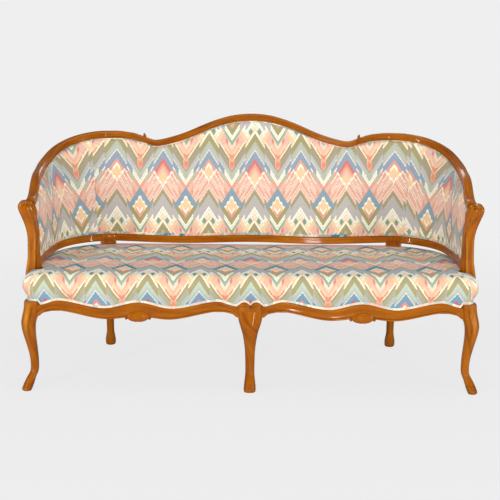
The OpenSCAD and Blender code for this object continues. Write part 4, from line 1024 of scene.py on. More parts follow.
def crest_profile(s):
    low, h, t = crest_low(s), crest_face(s), frame_thick
    # Each point's last number is its painted shade: darker at the bottom edge, in the quirks above the bead
    # and below the round top, and on the tongue and back.
    points = [(0.10, 0.0, 0.55), (0.055, 0.015, 0.8), (0.012, 0.05, 1.0), (0.0, 0.10, 1.0),
              (0.012, 0.155, 0.9), (0.03, 0.185, 0.55), (0.045, 0.20, 0.4), (0.042, 0.225, 0.6),
              (0.040, 0.27, 0.9), (0.045, 0.36, 0.95), (0.045, 0.44, 0.95), (0.036, 0.51, 0.9),
              (0.026, 0.545, 0.7), (0.014, 0.565, 0.8), (0.006, 0.60, 1.0), (0.006, 0.66, 1.0),
              (0.02, 0.75, 1.0), (0.055, 0.84, 1.0), (0.115, 0.915, 1.0), (0.21, 0.97, 1.0),
              (0.33, 0.995, 1.0), (0.45, 1.0, 1.0), (0.58, 0.99, 1.0), (0.72, 0.955, 1.0),
              (0.85, 0.88, 1.0), (0.95, 0.76, 1.0), (0.995, 0.62, 1.0), (1.0, 0.45, 1.0),
              (1.0, 0.08, 1.0), (0.985, 0.0, 0.8)]
    ring = [(webbing_out, low, 0.4)] + [(t * o, low + h * k, tone) for o, k, tone in points]
    return ring + [(tongue_back, low, 0.5), (tongue_back, low - tongue, 0.5),
                   (webbing_out, low - tongue, 0.5)]


def crest_length(c, a, b):
    rings = []
    for s in steps(a, b, 8):
        rings.append([wall(s, h, o) for o, h, tone in crest_profile(s)])
    c.loft(rings, [tone for o, h, tone in crest_profile(a)])


def beak(c, s_mid):
    """The shoulder's end turns up in a small rounded nib, thinner towards its back and front."""
    outline = through_points([(h * beak_tall * 0.72, v * beak_tall * 1.35) for h, v in beak_shape], 5)
    base = crest_top(s_mid) - beak_tall * 0.1
    mid_h, mid_v = beak_tall * 0.2, beak_tall * -0.2
    rings, tones = [], []
    for u in spread(-1, 1, 12):
        small = 1 - 0.22 * abs(u) ** 3
        depth = frame_thick * (0.5 + 0.36 * u)
        ring, tone = [], []
        for h, v in outline:
            notch = 1 - 0.05 * max(0.0, cos(h * 1.6)) * (1 if v < beak_tall * 0.6 else 0)
            place_h, place_v = mid_h + (h - mid_h) * small, mid_v + (v - mid_v) * small * notch
            height = base + place_v if v > 0.4 * beak_tall else crest_top(s_mid + place_h) - 4 + 0.4 * v
            ring.append(wall(s_mid + place_h, height, depth))
            # Painted shade, strongest at the nib's foot and fading towards its top.
            tone.append(0.55 if v < 0.5 else 0.62 + 0.38 * min(1, v / beak_tall))
        rings.append(ring)
        tones.append(tone)
    c.loft(rings, tones)


beak_tall = 10
beak_shape = [(-1.7, -0.6), (-0.95, 0.15), (-0.8, 0.7), (-0.55, 1.05), (-0.15, 1.12),
              (0.25, 0.85), (0.65, 0.42), (1.2, 0.08), (1.85, -0.7)]
joint_s, joint_gap, nib_from_joint = run_half - 455, 0.15, 14
for (side, hand), grain_from in zip(hands, (15.1, 17.9)):
    c = Carving("crest_rail_" + hand, grain_from)
    crest_length(c, 0, joint_s - joint_gap)
    beak(c, joint_s - nib_from_joint)
    if side > 0:
        c.verts = mirrored(c.verts, -1)
        c.faces = [f[::-1] for f in c.faces]
        c.uvs = [f[::-1] for f in c.uvs]
    c.piece(honey, 60)
c = Carving("crest_rail_centre", 19.6)
crest_length(c, joint_s + joint_gap, 2 * run_half - joint_s - joint_gap)
c.piece(honey, 60)

# Hidden frame
# Plain beech carries what the polished wood doesn't: the bearer of the centre leg, battens for the webbing,
# corner blocks on screws, and the dowels. The back seat rail is stained dark and polished.
beech = (0.30, 0.165, 0.070), (0.45, 0.27, 0.125), (0.56, 0.36, 0.19)
beech_long = polished_wood("plain beech along the sofa", *beech, read="object", gloss=False)
beech_deep = polished_wood("plain beech from front to back", *beech, read="object", gloss=False, along="Y")


def drawn_steel(name, bright, dull):
    """Steel with fine marks and dull patches."""
    m, t, skin = new_material(name)
    coords = place_of(t)
    patches = grain_noise(t, coords, (70, 70, 70), 4, 0.6)
    marks = grain_noise(t, coords, (900, 900, 240), 3, 0.6)
    surface(t, skin, ramp(t, patches, [(0.40, bright), (0.72, dull)]), {"Metallic": 1.0})
    t.links.new(greys(t, marks, (0.3, 0.24), (0.7, 0.46)), skin.inputs["Roughness"])
    bumped(t, skin, marks, 0.3, 0.0002)
    return m


zinc = drawn_steel("bright zinc", (0.62, 0.63, 0.65), (0.36, 0.36, 0.37))
dark_stain = (0.13, 0.034, 0.004), (0.22, 0.066, 0.008), (0.31, 0.105, 0.016)
stained = polished_wood("stained back rail", *dark_stain, read="object")
hidden_finish = {"back_seat_rail": stained, "front_battens": beech_long,
                 "centre_bearer": beech_deep, "corner_blocks": beech_deep, "corner_screws": zinc}
for node, material in hidden_finish.items():
    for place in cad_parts[node].material_slots:
        place.material = material
dowel_wide, dowel_reach, dowel_chamfer, dowel_sides = 3.6, 17, 1.4, 20
crest_dowel_reach, crest_dowel_rise = 12, crest_face_h * 0.16


def peg(c, place, reach, along_x):
    """A round dowel with chamfered ends, along the sofa or from front to back."""
    x, y, z = place
    rings = []
    tip = dowel_wide - dowel_chamfer
    for far, wide in ((-reach, tip), (dowel_chamfer - reach, dowel_wide),
                      (reach - dowel_chamfer, dowel_wide), (reach, tip)):
        ring = []
        for a in [2 * pi * j / dowel_sides for j in range(dowel_sides)]:
            over, up = wide * cos(a), wide * sin(a)
            ring.append(put(x + far, y + over, z + up) if along_x else put(x + over, y + far, z + up))
        rings.append(ring)
    c.loft(rings)


def dowel_place(side, s, z, out):
    p = wall(s, z, out)
    return side * abs(p.x) / mm, p.y / mm + y_middle, p.z / mm


c = Carving("frame_dowels", 21.3, "beech_dowels")
for side in (-1, 1):
    for z, out in ((crest_top(0) - crest_face_h * 0.72, frame_thick * 0.4),
                   (lower_mid_z, frame_thick * 0.3)):
        peg(c, dowel_place(side, 0, z, out), dowel_reach, False)
    for step in (-1, 1):
        z = crest_top(joint_s) - crest_face(joint_s) / 2 + step * crest_dowel_rise
        peg(c, dowel_place(side, joint_s, z, frame_thick * 0.58), crest_dowel_reach, True)
c.piece(beech_long, 40, "frame_wood")

# Seat webbing
# Jute straps are nailed under the rails and the battens: six run the length of the seat, and
# the others cross below them from front to back, with their ends folded over.
strap_wide, strap_thick, strap_hold = 50, 1.2, rail_thick * 0.4
batten_wide = 22
batten_end = front_set + rail_thick + batten_wide - strap_hold
inner_r, side_inner_r = wall_r + frame_in - rail_thick, side_r + frame_in - rail_thick
side_shift = (side_r - wall_r) * cos(radians(side_turn)) - corner_x


def inside_x(y):
    """Inner face of the side rail."""
    if y > corner_y + inner_r * sin(radians(side_turn)):
        return corner_x + sqrt(inner_r ** 2 - (y - corner_y) ** 2)
    return sqrt(side_inner_r ** 2 - max(0, y - post_back) ** 2) - side_shift


def inside_y(x):
    """Inner face of the back rail."""
    return corner_y + sqrt(inner_r ** 2 - (x - corner_x) ** 2) if x > corner_x else seat_depth - rail_thick


def cloth_mesh(name, verts, faces, uvs, material):
    """Open sheet with its weave map, in metres."""
    mesh = bpy.data.meshes.new(name)
    mesh.from_pydata(verts, [], faces)
    layer = mesh.uv_layers.new(name="weave")
    layer.data.foreach_set("uv", [c for face in uvs for uv in face for c in uv])
    mesh.materials.append(material)
    for poly in mesh.polygons:
        poly.use_smooth = True
    return placed(name, mesh)


def faces_outwards(piece):
    bm = bmesh.new()
    bm.from_mesh(piece.data)
    bmesh.ops.recalc_face_normals(bm, faces=bm.faces)
    bm.to_mesh(piece.data)
    bm.free()


def fixed_mesh(piece):
    """The piece with its modifiers worked into its mesh."""
    graph = bpy.context.evaluated_depsgraph_get()
    mesh = bpy.data.meshes.new_from_object(piece.evaluated_get(graph), depsgraph=graph)
    piece.modifiers.clear()
    piece.data = mesh
    return piece


def plain_weave(name, stops, strands, mapped=True, striped=0.0):
    """Plain weave, read from a map in metres or from the place on the sofa; webbing has two stripes."""
    m, t, skin = new_material(name)
    coords = map_of(t, "weave") if mapped else place_of(t)
    fine, rough, relief = (700, 700, 700), 0.93, (0.6, 0.0005)
    if mapped:
        fine, rough, relief = (900, 900, 1), 0.92, (0.7, 0.0006)
    across, up = parts_of(t, coords)
    warp = maths(t, "SINE", times(t, across, 2 * pi * strands))
    weft = maths(t, "SINE", times(t, up, 2 * pi * strands))
    fibre = grain_noise(t, coords, fine, 3, 0.65)
    colour = ramp(t, fibre, stops)
    if striped:
        edge = maths(t, "COMPARE", maths(t, "ABSOLUTE", up), striped, 0.0022)
        colour = mixed(t, times(t, edge, 0.75), colour, (0.12, 0.045, 0.030))
    surface(t, skin, colour, {"Roughness": rough, "Specular IOR Level": 0.15})
    bumped(t, skin, plus(t, times(t, warp, weft), fibre), *relief)
    return m


class Layers:
    """Gathers flat pieces of cloth with a thickness, each between two grids of places."""

    def __init__(self):
        self.verts, self.faces, self.maps = [], [], []

    def add(self, face, back, places):
        rows, cols, base = len(face), len(face[0]), len(self.verts)
        for grid in (face, back):
            self.verts += [p for row in grid for p in row]
        far = rows * cols

        def at(i, j, layer):
            return base + layer * far + i * cols + j

        def side(quad, spots):
            self.faces.append(quad)
            self.maps.append([places[i][j] for i, j in spots])
        for i in range(rows - 1):
            for j in range(cols - 1):
                spots = [(i, j), (i, j + 1), (i + 1, j + 1), (i + 1, j)]
                side([at(a, b, 0) for a, b in spots], spots)
                side([at(a, b, 1) for a, b in spots[::-1]], spots[::-1])
        border = [(i, 0) for i in range(rows - 1)] + [(rows - 1, j) for j in range(cols - 1)]
        border += [(i, cols - 1) for i in range(rows - 1, 0, -1)] + [(0, j) for j in range(cols - 1, 0, -1)]
        for a, b in zip(border, border[1:] + border[:1]):
            side([at(*a, 0), at(*b, 0), at(*b, 1), at(*a, 1)], [a, b, b, a])

    def piece(self, name, material, finish, node):
        piece = cloth_mesh(name, self.verts, self.faces, self.maps, material)
        faces_outwards(piece)
        return fitted(piece, node)


jute_strands = 420
jute_brown = [(0.3, (0.25, 0.165, 0.080)), (0.5, (0.42, 0.30, 0.16)), (0.7, (0.55, 0.42, 0.25))]
webbing_cloth = plain_weave("jute webbing", jute_brown, jute_strands, striped=0.018)
straps = Layers()


def flat_strap(x0, x1, y0, y1, z, lengthwise):
    """A strap lying flat, z being its upper side."""
    xs = spread(x0, x1, 24 if lengthwise else 4)
    ys = spread(y0, y1, 4 if lengthwise else 12)
    middle = (y0 + y1) / 2 if lengthwise else (x0 + x1) / 2
    face = [[put(x, y, z) for x in xs] for y in ys]
    back = [[put(x, y, z - strap_thick) for x in xs] for y in ys]
    if lengthwise:
        places = [[(x * mm, (y - middle) * mm) for x in xs] for y in ys]
    else:
        places = [[(y * mm, (x - middle) * mm) for x in xs] for y in ys]
    straps.add(face, back, places)


for share in (0.2, 0.32, 0.44, 0.56, 0.68, 0.8):
    y = seat_depth * share
    x = inside_x(y + strap_wide / 2) + strap_hold
    flat_strap(-x, x, y - strap_wide / 2, y + strap_wide / 2, rail_low, True)
strap_reach = stile_wide / 2 + strap_wide / 2 + strap_hold
strap_xs = [(stile_x - strap_reach) * share for share in (0.27, 0.51, 0.76, 1)] + [stile_x + strap_reach]
for side in (-1, 1):
    for x in strap_xs:
        end = inside_y(x + strap_wide / 2) + strap_hold
        x0, x1 = side * x - strap_wide / 2, side * x + strap_wide / 2
        flat_strap(x0, x1, batten_end, end, rail_low - strap_thick, False)
        for fold in (batten_end, end - strap_hold):
            flat_strap(x0, x1, fold, fold + strap_hold, rail_low - 0.05, False)
straps.piece("seat_webbing_straps", webbing_cloth, "jute", "seat_webbing")

# Seat springs
# Twelve waisted coils of coppered wire are sewn to the webbing in two rows. Geometry nodes
# make one coil and set it at each place.
spring_wide, wire_wide, spring_low, spring_top = 90, 4, rail_low + gap, rail_top + 12
spring_xs = [strap_xs[0], strap_xs[2], strap_xs[4]]
spring_shares = (0.32, 0.68)


def geometry_tree(name, sizes):
    """A tree of geometry nodes with its named sizes, and the identifiers to set them by."""
    tree = bpy.data.node_groups.new(name, "GeometryNodeTree")
    tree.interface.new_socket("Places", in_out="INPUT", socket_type="NodeSocketGeometry")
    keys = {}
    for label in sizes:
        socket = tree.interface.new_socket(label, in_out="INPUT", socket_type="NodeSocketFloat")
        keys[label] = socket.identifier
    tree.interface.new_socket("Result", in_out="OUTPUT", socket_type="NodeSocketGeometry")
    return tree, tree.nodes.new("NodeGroupInput").outputs, tree.nodes.new("NodeGroupOutput").inputs, keys


def real_copies(tree, points, shape, material, result):
    """Ends a tree: its shape set at each point, made real and given its material."""
    copies = node_step(tree, "GeometryNodeInstanceOnPoints", {}, {"Points": points, "Instance": shape})
    real = node_step(tree, "GeometryNodeRealizeInstances", {}, {"Geometry": copies.outputs[0]})
    dressed = node_step(
        tree, "GeometryNodeSetMaterial", {"Material": material}, {"Geometry": real.outputs[0]})
    tree.links.new(dressed.outputs[0], result[0])


def grown(name, tree, keys, sizes, places, edges):
    """The plain mesh that a tree makes at the given places."""
    mesh = bpy.data.meshes.new(name)
    mesh.from_pydata(places, edges, [])
    piece = placed(name, mesh)
    growth = piece.modifiers.new("growth", "NODES")
    growth.node_group = tree
    for label, value in sizes.items():
        growth[keys[label]] = value
    fixed_mesh(piece)
    faces_outwards(piece)
    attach(piece, "root")
    return piece


wire = drawn_steel("coppered spring wire", (0.46, 0.27, 0.15), (0.22, 0.15, 0.11))
coil_sizes = {"Turns": 5.0, "Radius": (spring_wide - wire_wide) / 2 * mm, "Waist": 0.28,
              "Height": (spring_top - spring_low - wire_wide) * mm, "Wire": wire_wide / 2 * mm}
coil_tree, given, result, keys = geometry_tree("coil spring", coil_sizes)
helix = node_step(coil_tree, "GeometryNodeCurveSpiral", {"Resolution": 22}, {
    "Rotations": given["Turns"], "Start Radius": given["Radius"], "End Radius": given["Radius"],
    "Height": given["Height"]})
along = coil_tree.nodes.new("GeometryNodeSplineParameter")
swell = maths(coil_tree, "SINE", times(coil_tree, along.outputs["Factor"], pi))
left = maths(coil_tree, "SUBTRACT", 1.0, times(coil_tree, swell, given["Waist"]))
waist = node_step(coil_tree, "ShaderNodeCombineXYZ", {"Z": 1.0}, {"X": left, "Y": left})
spot = coil_tree.nodes.new("GeometryNodeInputPosition")
scaled = node_step(coil_tree, "ShaderNodeVectorMath", {"operation": "MULTIPLY"}, {})
coil_tree.links.new(spot.outputs[0], scaled.inputs[0])
coil_tree.links.new(waist.outputs[0], scaled.inputs[1])
shaped = node_step(coil_tree, "GeometryNodeSetPosition", {}, {
    "Geometry": helix.outputs[0], "Position": scaled.outputs[0]})
ring = node_step(
    coil_tree, "GeometryNodeCurvePrimitiveCircle", {"Resolution": 8}, {"Radius": given["Wire"]})
tube = node_step(coil_tree, "GeometryNodeCurveToMesh", {"Fill Caps": True}, {
    "Curve": shaped.outputs[0], "Profile Curve": ring.outputs[0]})
real_copies(coil_tree, given["Places"], tube.outputs[0], wire, result)
spring_places = [put(side * x, seat_depth * share, spring_low + wire_wide / 2)
                 for side in (-1, 1) for x in spring_xs for share in spring_shares]
springs = grown("seat_spring_coils", coil_tree, keys, coil_sizes, spring_places, [])
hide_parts("seat_springs")

# Spring cords
# Laid twine lashes the springs down in both directions, and is tacked to the rails.


def smooth_through(points, counts):
    """Open smooth line through points, with a number of steps for each stretch."""
    line = []
    for i, count in enumerate(counts):
        corners = [points[min(max(i + k, 0), len(points) - 1)] for k in (-1, 0, 1, 2)]
        line += [spline_place(corners, j / count) for j in range(count)]
    line.append(tuple(points[-1]))
    return line


def cord(name, paths, radii, node, material, sides=12):
    """Round cords along open lines of places, each line with its radius in millimetres."""
    verts, faces, maps = [], [], []
    for path, radius in zip(paths, radii):
        base, length = len(verts), 0.0
        count = len(path)
        across = None
        for k, p in enumerate(path):
            before, after = path[max(k - 1, 0)], path[min(k + 1, count - 1)]
            along = (after - before).normalized()
            if across is None:
                across = along.cross(Vector((0, 0, 1))).normalized()
            across = (across - along * across.dot(along)).normalized()
            rise = along.cross(across)
            length += (p - before).length if k else 0.0
            small = 0.55 if k in (0, count - 1) else 1.0
            for j in range(sides):
                a = 2 * pi * j / sides
                verts.append(p + (across * cos(a) + rise * sin(a)) * radius * mm * small)
                maps.append((length, a * radius * mm))
        for k in range(count - 1):
            for j in range(sides):
                jj, low, high = (j + 1) % sides, base + k * sides, base + (k + 1) * sides
                faces.append((low + j, low + jj, high + jj, high + j))
        faces.append(tuple(base + j for j in range(sides)))
        faces.append(tuple(base + (count - 1) * sides + j for j in range(sides)))
    uvs = []
    for f in faces:
        row = [maps[i] for i in f]
        most = max(v for u, v in row)
        if len(f) == 4 and f[1] < f[0]:
            row = [(u, v if v else most * sides / (sides - 1)) for u, v in row]
        uvs.append([(u * 0.83, u * 0.56 + v) for u, v in row])
    piece = cloth_mesh(name, verts, faces, uvs, material)
    faces_outwards(piece)
    return fitted(piece, node)


lay_along, lay_around = 1400, 900


def laid_twine():
    """Laid flax twine, read from a map in metres along the cord."""
    m, t, skin = new_material("laid twine")
    coords = map_of(t, "weave")
    across, up = parts_of(t, coords)
    lay = plus(t, times(t, across, lay_along), times(t, up, lay_around))
    strand = maths(t, "ABSOLUTE", maths(t, "SINE", lay))
    # Painted shade: darker in the grooves between the strands.
    colour = ramp(t, strand, [
        (0.0, (0.30, 0.23, 0.13)), (0.5, (0.66, 0.58, 0.42)), (1.0, (0.76, 0.69, 0.54))])
    surface(t, skin, colour, {"Roughness": 0.85})
    bumped(t, skin, strand, 0.8, 0.0004)
    return m


twine_r = 1.2
tack_z = rail_top + twine_r + gap
first_z = spring_top + twine_r + gap
second_z = first_z + 2 * twine_r + gap
lashings = []
for side in (-1, 1):
    for x in spring_xs:
        ends = front_set + rail_thick * 0.65, inside_y(x) + rail_thick * 0.35
        near, far = (seat_depth * share for share in spring_shares)
        knots = [(ends[0], tack_z), (near - spring_wide / 2, first_z),
                 (far + spring_wide / 2, first_z), (ends[1], tack_z)]
        lashings.append([put(side * x, y, z) for y, z in smooth_through(knots, (6, 12, 6))])
for share in spring_shares:
    end, last = inside_x(seat_depth * share) + rail_thick * 0.35, spring_xs[2] + spring_wide / 2
    knots = [(-end, tack_z), (-last, second_z), (last, second_z), (end, tack_z)]
    lashings.append([put(x, seat_depth * share, z) for x, z in smooth_through(knots, (8, 40, 8))])
cord("spring_lashings", lashings, [twine_r] * len(lashings), "spring_cords", laid_twine(), 8)

# Hessian and stuffing
# Hessian is tacked over the springs and over the back's webbing. On it lies curled hair,
# thickest in the middle, and this gives the seat and the back their swell.

hair_lumps = 45


def worked_copy(node, name, material, finest=0.035, sunk=0.0):
    """A copy of a plain solid with its long triangles divided and its surface unevenly sunk."""
    mesh = bpy.data.meshes.new(name)
    bm = bmesh.new()
    bm.from_mesh(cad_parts[node].data)
    bmesh.ops.remove_doubles(bm, verts=bm.verts, dist=weld)
    for turn in range(6):
        long_edges = [e for e in bm.edges if e.calc_length() > finest]
        if not long_edges:
            break
        bmesh.ops.subdivide_edges(bm, edges=long_edges, cuts=1)
        bmesh.ops.triangulate(bm, faces=bm.faces)
    bm.normal_update()
    for v in bm.verts:
        v.co -= v.normal * sunk * (0.5 + 0.5 * noise.noise(v.co * hair_lumps))
    bm.to_mesh(mesh)
    bm.free()
    mesh.materials.clear()
    mesh.materials.append(material)
    return fitted(placed(name, mesh), node)


def curled_hair():
    """Dark curled hair."""
    m, t, skin = new_material("curled hair")
    coords = place_of(t)
    curls = grain_noise(t, coords, (260, 260, 260), 5, 0.7, 2.5)
    colour = ramp(t, curls, [(0.35, (0.045, 0.030, 0.020)), (0.6, (0.20, 0.14, 0.09))])
    surface(t, skin, colour, {"Roughness": 0.95})
    bumped(t, skin, curls, 0.9, 0.002)
    return m


hessian_brown = [(0.3, (0.25, 0.165, 0.080)), (0.7, (0.52, 0.39, 0.22))]
seat_sacking = plain_weave("seat hessian", hessian_brown, jute_strands, mapped=False)
seat_hessian = worked_copy("seat_hessian", "seat_hessian_cloth", seat_sacking)
hair = curled_hair()
seat_pad = worked_copy("seat_stuffing", "seat_hair_pad", hair, sunk=0.0006)

hessian_thick, webbing_room, back_strap_gaps = 1.2, 1.8, 4.5
strap_out = webbing_out - gap - strap_thick
hessian_out = strap_out - webbing_room - hessian_thick
strap_every = (run_half - stile_mid) / back_strap_gaps
strap_count = floor((run_half - strap_wide) / strap_every)


def back_layer(layers, a, b, near, far, across, up):
    """Adds cloth between two distances along the back, from near to far out."""
    ss = spread(a, b, across)
    face, back, places = [], [], []
    for i in range(up + 1):
        zs = [lower_top(s) + gap + (crest_low(s) - lower_top(s) - 2 * gap) * i / up for s in ss]
        face.append([wall(s, z, near) for s, z in zip(ss, zs)])
        back.append([wall(s, z, far) for s, z in zip(ss, zs)])
        places.append([(z * mm, (s - (a + b) / 2) * mm) for s, z in zip(ss, zs)])
    layers.add(face, back, places)


back_straps = Layers()
for i in range(-strap_count, strap_count + 1):
    s = run_half + i * strap_every
    back_layer(back_straps, s - strap_wide / 2, s + strap_wide / 2, strap_out,
               strap_out + strap_thick, 6, 14)
back_straps.piece("back_webbing_straps", webbing_cloth, "jute", "back_webbing")
back_sacking = Layers()
back_layer(back_sacking, gap, 2 * run_half - gap, hessian_out, hessian_out + hessian_thick, 240, 14)
back_jute = plain_weave("back hessian", jute_brown, jute_strands)
back_hessian = back_sacking.piece("back_hessian_cloth", back_jute, "jute", "back_hessian")
back_pad = worked_copy("back_stuffing", "back_hair_pad", hair, sunk=0.0006)

# Flame-stitch cloth
# A ribbed furnishing cloth woven in stepped peaks, one every 20 cm, in olive, grey, slate,
# peach and coral with ivory outlines. The seat, the back and all piping are cut from it.
peak_apart, peak_repeat, peak_slope, ledge_at, ledge_up = 0.2, 1.948, 1.55, 0.21, 0.13
thread_column, thread_row = 0.0025, 0.0017


def dyed(**colours):
    """Dyes given as they look on a screen, from 0 to 255."""
    return {name: tuple(((v / 255 + 0.055) / 1.055) ** 2.4 for v in rgb) for name, rgb in colours.items()}


yarn = dyed(
    ivory=(248, 242, 222), cream=(240, 226, 198), shell=(240, 212, 190), peach=(240, 204, 160),
    orange=(228, 144, 108), pink=(230, 186, 166), salmon=(226, 164, 144), coral=(218, 122, 110),
    rose=(222, 134, 124), olive=(166, 156, 112), taupe=(168, 156, 138), sage=(180, 188, 168),
    green=(152, 176, 148), grey=(188, 188, 180), mauve=(186, 182, 178), slate=(146, 162, 178),
    teal=(136, 160, 174), leaf=(132, 158, 134))
seat_dyes = dict(yarn, **dyed(
    slate=(122, 158, 182), teal=(14, 136, 166), sage=(188, 202, 184), mauve=(168, 178, 184),
    grey=(184, 190, 182), leaf=(84, 146, 122), coral=(226, 92, 98), taupe=(176, 172, 146),
    salmon=(230, 146, 130), olive=(170, 160, 118), pink=(232, 184, 158), peach=(242, 204, 160)))
# where each band of colour starts below the top of a peak, in peak widths
under_peak = [(0, "ivory"), (0.035, "olive"), (0.2, "sage"), (0.29, "grey"), (0.395, "ivory"),
              (0.412, "slate")]
over_peak = [(1.28, "olive"), (1.36, "mauve"), (1.627, "ivory"), (1.70, "grey"), (1.714, "ivory"),
             (1.775, "grey"), (1.789, "cream"), (1.87, "peach"), (1.915, "ivory")]
even_peak = under_peak + [(0.586, "salmon"), (0.70, "peach"), (1.13, "pink"), (1.18, "salmon")] + over_peak
odd_peak = under_peak + [(0.586, "coral"), (0.69, "salmon"), (0.77, "pink"), (0.86, "peach"),
                         (1.25, "pink")] + over_peak
flank = [(0, "ivory"), (0.035, "olive"), (0.12, "taupe"), (0.26, "grey"), (0.395, "ivory"),
         (0.41, "slate"), (0.56, "ivory"), (0.60, "salmon"), (0.71, "ivory"), (0.74, "pink"),
         (0.89, "ivory"), (0.91, "salmon"), (0.95, "ivory"), (0.97, "pink"), (1.05, "salmon"),
         (1.10, "shell"), (1.14, "pink"), (1.20, "shell"), (1.245, "taupe"), (1.37, "mauve"),
         (1.60, "ivory"), (1.665, "grey"), (1.679, "ivory"), (1.74, "grey"), (1.754, "cream"),
         (1.82, "peach"), (1.91, "shell")]
valley = [(0, "pink"), (0.12, "salmon"), (0.21, "taupe"), (0.25, "sage"), (0.42, "ivory"),
          (0.468, "grey"), (0.482, "ivory"), (0.535, "salmon"), (0.66, "pink"), (0.80, "salmon"),
          (0.95, "pink"), (1.245, "taupe"), (1.37, "mauve"), (1.40, "ivory"), (1.448, "grey"),
          (1.462, "ivory"), (1.51, "green"), (1.61, "shell"), (1.71, "pink"), (1.80, "peach"),
          (1.88, "salmon")]


def bands(tree, place, table, dyes):
    stops = [(at / peak_repeat, dyes[colour]) for at, colour in table]
    return ramp(tree, maths(tree, "DIVIDE", place, peak_repeat), stops, "CONSTANT")


def flame_cloth(name, top_at, odd_at, dyes):
    """The cloth, read from a map in metres; top_at and odd_at place the top of a peak up and across."""
    m, t, skin = new_material(name)
    coords = map_of(t, "weave")
    across, up = parts_of(t, coords)
    column = maths(t, "FLOOR", maths(t, "DIVIDE", across, thread_column))
    row = maths(t, "FLOOR", maths(t, "DIVIDE", up, thread_row))
    x = maths(t, "MULTIPLY_ADD", column, thread_column / peak_apart, 1 - odd_at / peak_apart)
    y = maths(t, "MULTIPLY_ADD", row, -thread_row / peak_apart, top_at / peak_apart)
    axis = maths(t, "ROUND", x)
    off = maths(t, "ABSOLUTE", maths(t, "SUBTRACT", x, axis))
    odd = maths(t, "FLOORED_MODULO", axis, 2)
    ledge = times(t, maths(t, "GREATER_THAN", off, ledge_at), ledge_up)
    rise = times(t, off, peak_slope)
    down = maths(t, "FLOORED_MODULO", plus(t, maths(t, "SUBTRACT", y, rise), ledge), peak_repeat)
    cross = plus(t, maths(t, "SUBTRACT", down, ledge), times(t, rise, 2))

    def over(a, limit):
        return maths(t, "GREATER_THAN", a, limit)

    def under(a, limit):
        return maths(t, "LESS_THAN", a, limit)

    def both(*tests):
        result = tests[0]
        for test in tests[1:]:
            result = times(t, result, test)
        return result

    def between(a, limits):
        return both(over(a, limits[0]), under(a, limits[1]))

    def patch(base, dye, *tests):
        return mixed(t, both(*tests), base, dyes[dye])

    side = bands(t, down, flank, dyes)
    peak = mixed(t, odd, bands(t, down, even_peak, dyes), bands(t, down, odd_peak, dyes))
    peak = patch(peak, "ivory", maths(t, "SUBTRACT", 1, odd), between(down, (0.68, 0.75)), under(off, 0.07))
    foot = maths(t, "MULTIPLY_ADD", odd, 0.12, 1.13)
    jag = times(t, maths(t, "PINGPONG", off, 0.034), 1.6)
    foot = maths(t, "SUBTRACT", foot, jag)
    lozenge = between(down, (0.57, 1.28))
    peak = mixed(t, both(lozenge, maths(t, "GREATER_THAN", cross, foot)), peak, side)
    rim = maths(t, "COMPARE", cross, maths(t, "SUBTRACT", foot, 0.025), 0.03)
    peak = patch(peak, "ivory", lozenge, rim)
    colour = mixed(t, over(off, 0.2), peak, side)
    reach = maths(t, "MULTIPLY_ADD", under(down, 0.41), 0.105, 0.34)
    colour = mixed(t, maths(t, "GREATER_THAN", off, reach), colour, bands(t, down, valley, dyes))
    colour = patch(colour, "sage", between(down, (0.55, 0.66)), between(off, (0.27, 0.39)))
    fan = both(over(cross, 1.988), under(down, 1.40), over(off, 0.25))
    fan_bands = [(0, "teal"), (0.25, "ivory"), (0.30, "peach")]
    fan_colour = bands(t, maths(t, "SUBTRACT", cross, plus(t, jag, 1.9)), fan_bands, dyes)
    fan_colour = patch(fan_colour, "ivory", between(down, (1.10, 1.16)), over(off, 0.43))
    fan_colour = patch(fan_colour, "salmon", between(down, (1.16, 1.25)), over(off, 0.42))
    fan_colour = patch(fan_colour, "olive", over(down, 1.25), over(cross, 2.12))
    colour = mixed(t, fan, colour, fan_colour)
    foot_row = over(down, 1.60)
    colour = patch(colour, "peach", foot_row, between(cross, (2.37, 2.60)), under(off, 0.34))
    colour = patch(colour, "pink", foot_row, between(cross, (2.50, 2.76)), under(off, 0.40))
    colour = patch(colour, "leaf", between(down, (1.735, 1.885)), between(cross, (2.02, 2.19)))
    colour = patch(colour, "rose", between(off, (0.36, 0.41)), between(down, (1.64, 1.74)))
    colour = patch(colour, "orange", over(off, 0.465), between(down, (0.03, 0.15)))
    colour = patch(colour, "orange", over(off, 0.455), between(down, (1.84, 1.90)))

    fleck = grain_noise(t, coords, (620, 900, 1), 2, 0.6)
    slub = grain_noise(t, coords, (70, 420, 1), 3, 0.6, 0.2, (5, 2, 0))
    shade = ramp(t, plus(t, times(t, fleck, 0.6), times(t, slub, 0.4)),
                 [(0.32, (0.70, 0.69, 0.68)), (0.56, (1, 1, 1)), (0.72, (1.0, 1.0, 0.99))])
    colour = mixed(t, 1.0, colour, shade, "MULTIPLY")
    surface(t, skin, colour, {
        "Roughness": 0.86, "Specular IOR Level": 0.22, "Sheen Weight": 0.18, "Sheen Roughness": 0.45})
    rib = maths(t, "SINE", times(t, up, 2 * pi / thread_row))
    warp = maths(t, "SINE", times(t, across, 4 * pi / thread_column))
    relief = plus(t, times(t, rib, 0.5), times(t, warp, 0.3))
    relief = plus(t, relief, fleck)
    bumped(t, skin, relief, 0.35, 0.0005)
    return m


def paler(dyes, share):
    """The same dyes as they look on a thin bias strip, where each band is narrow."""
    return {k: tuple(a + (b - a) * share for a, b in zip(v, dyes["ivory"])) for k, v in dyes.items()}


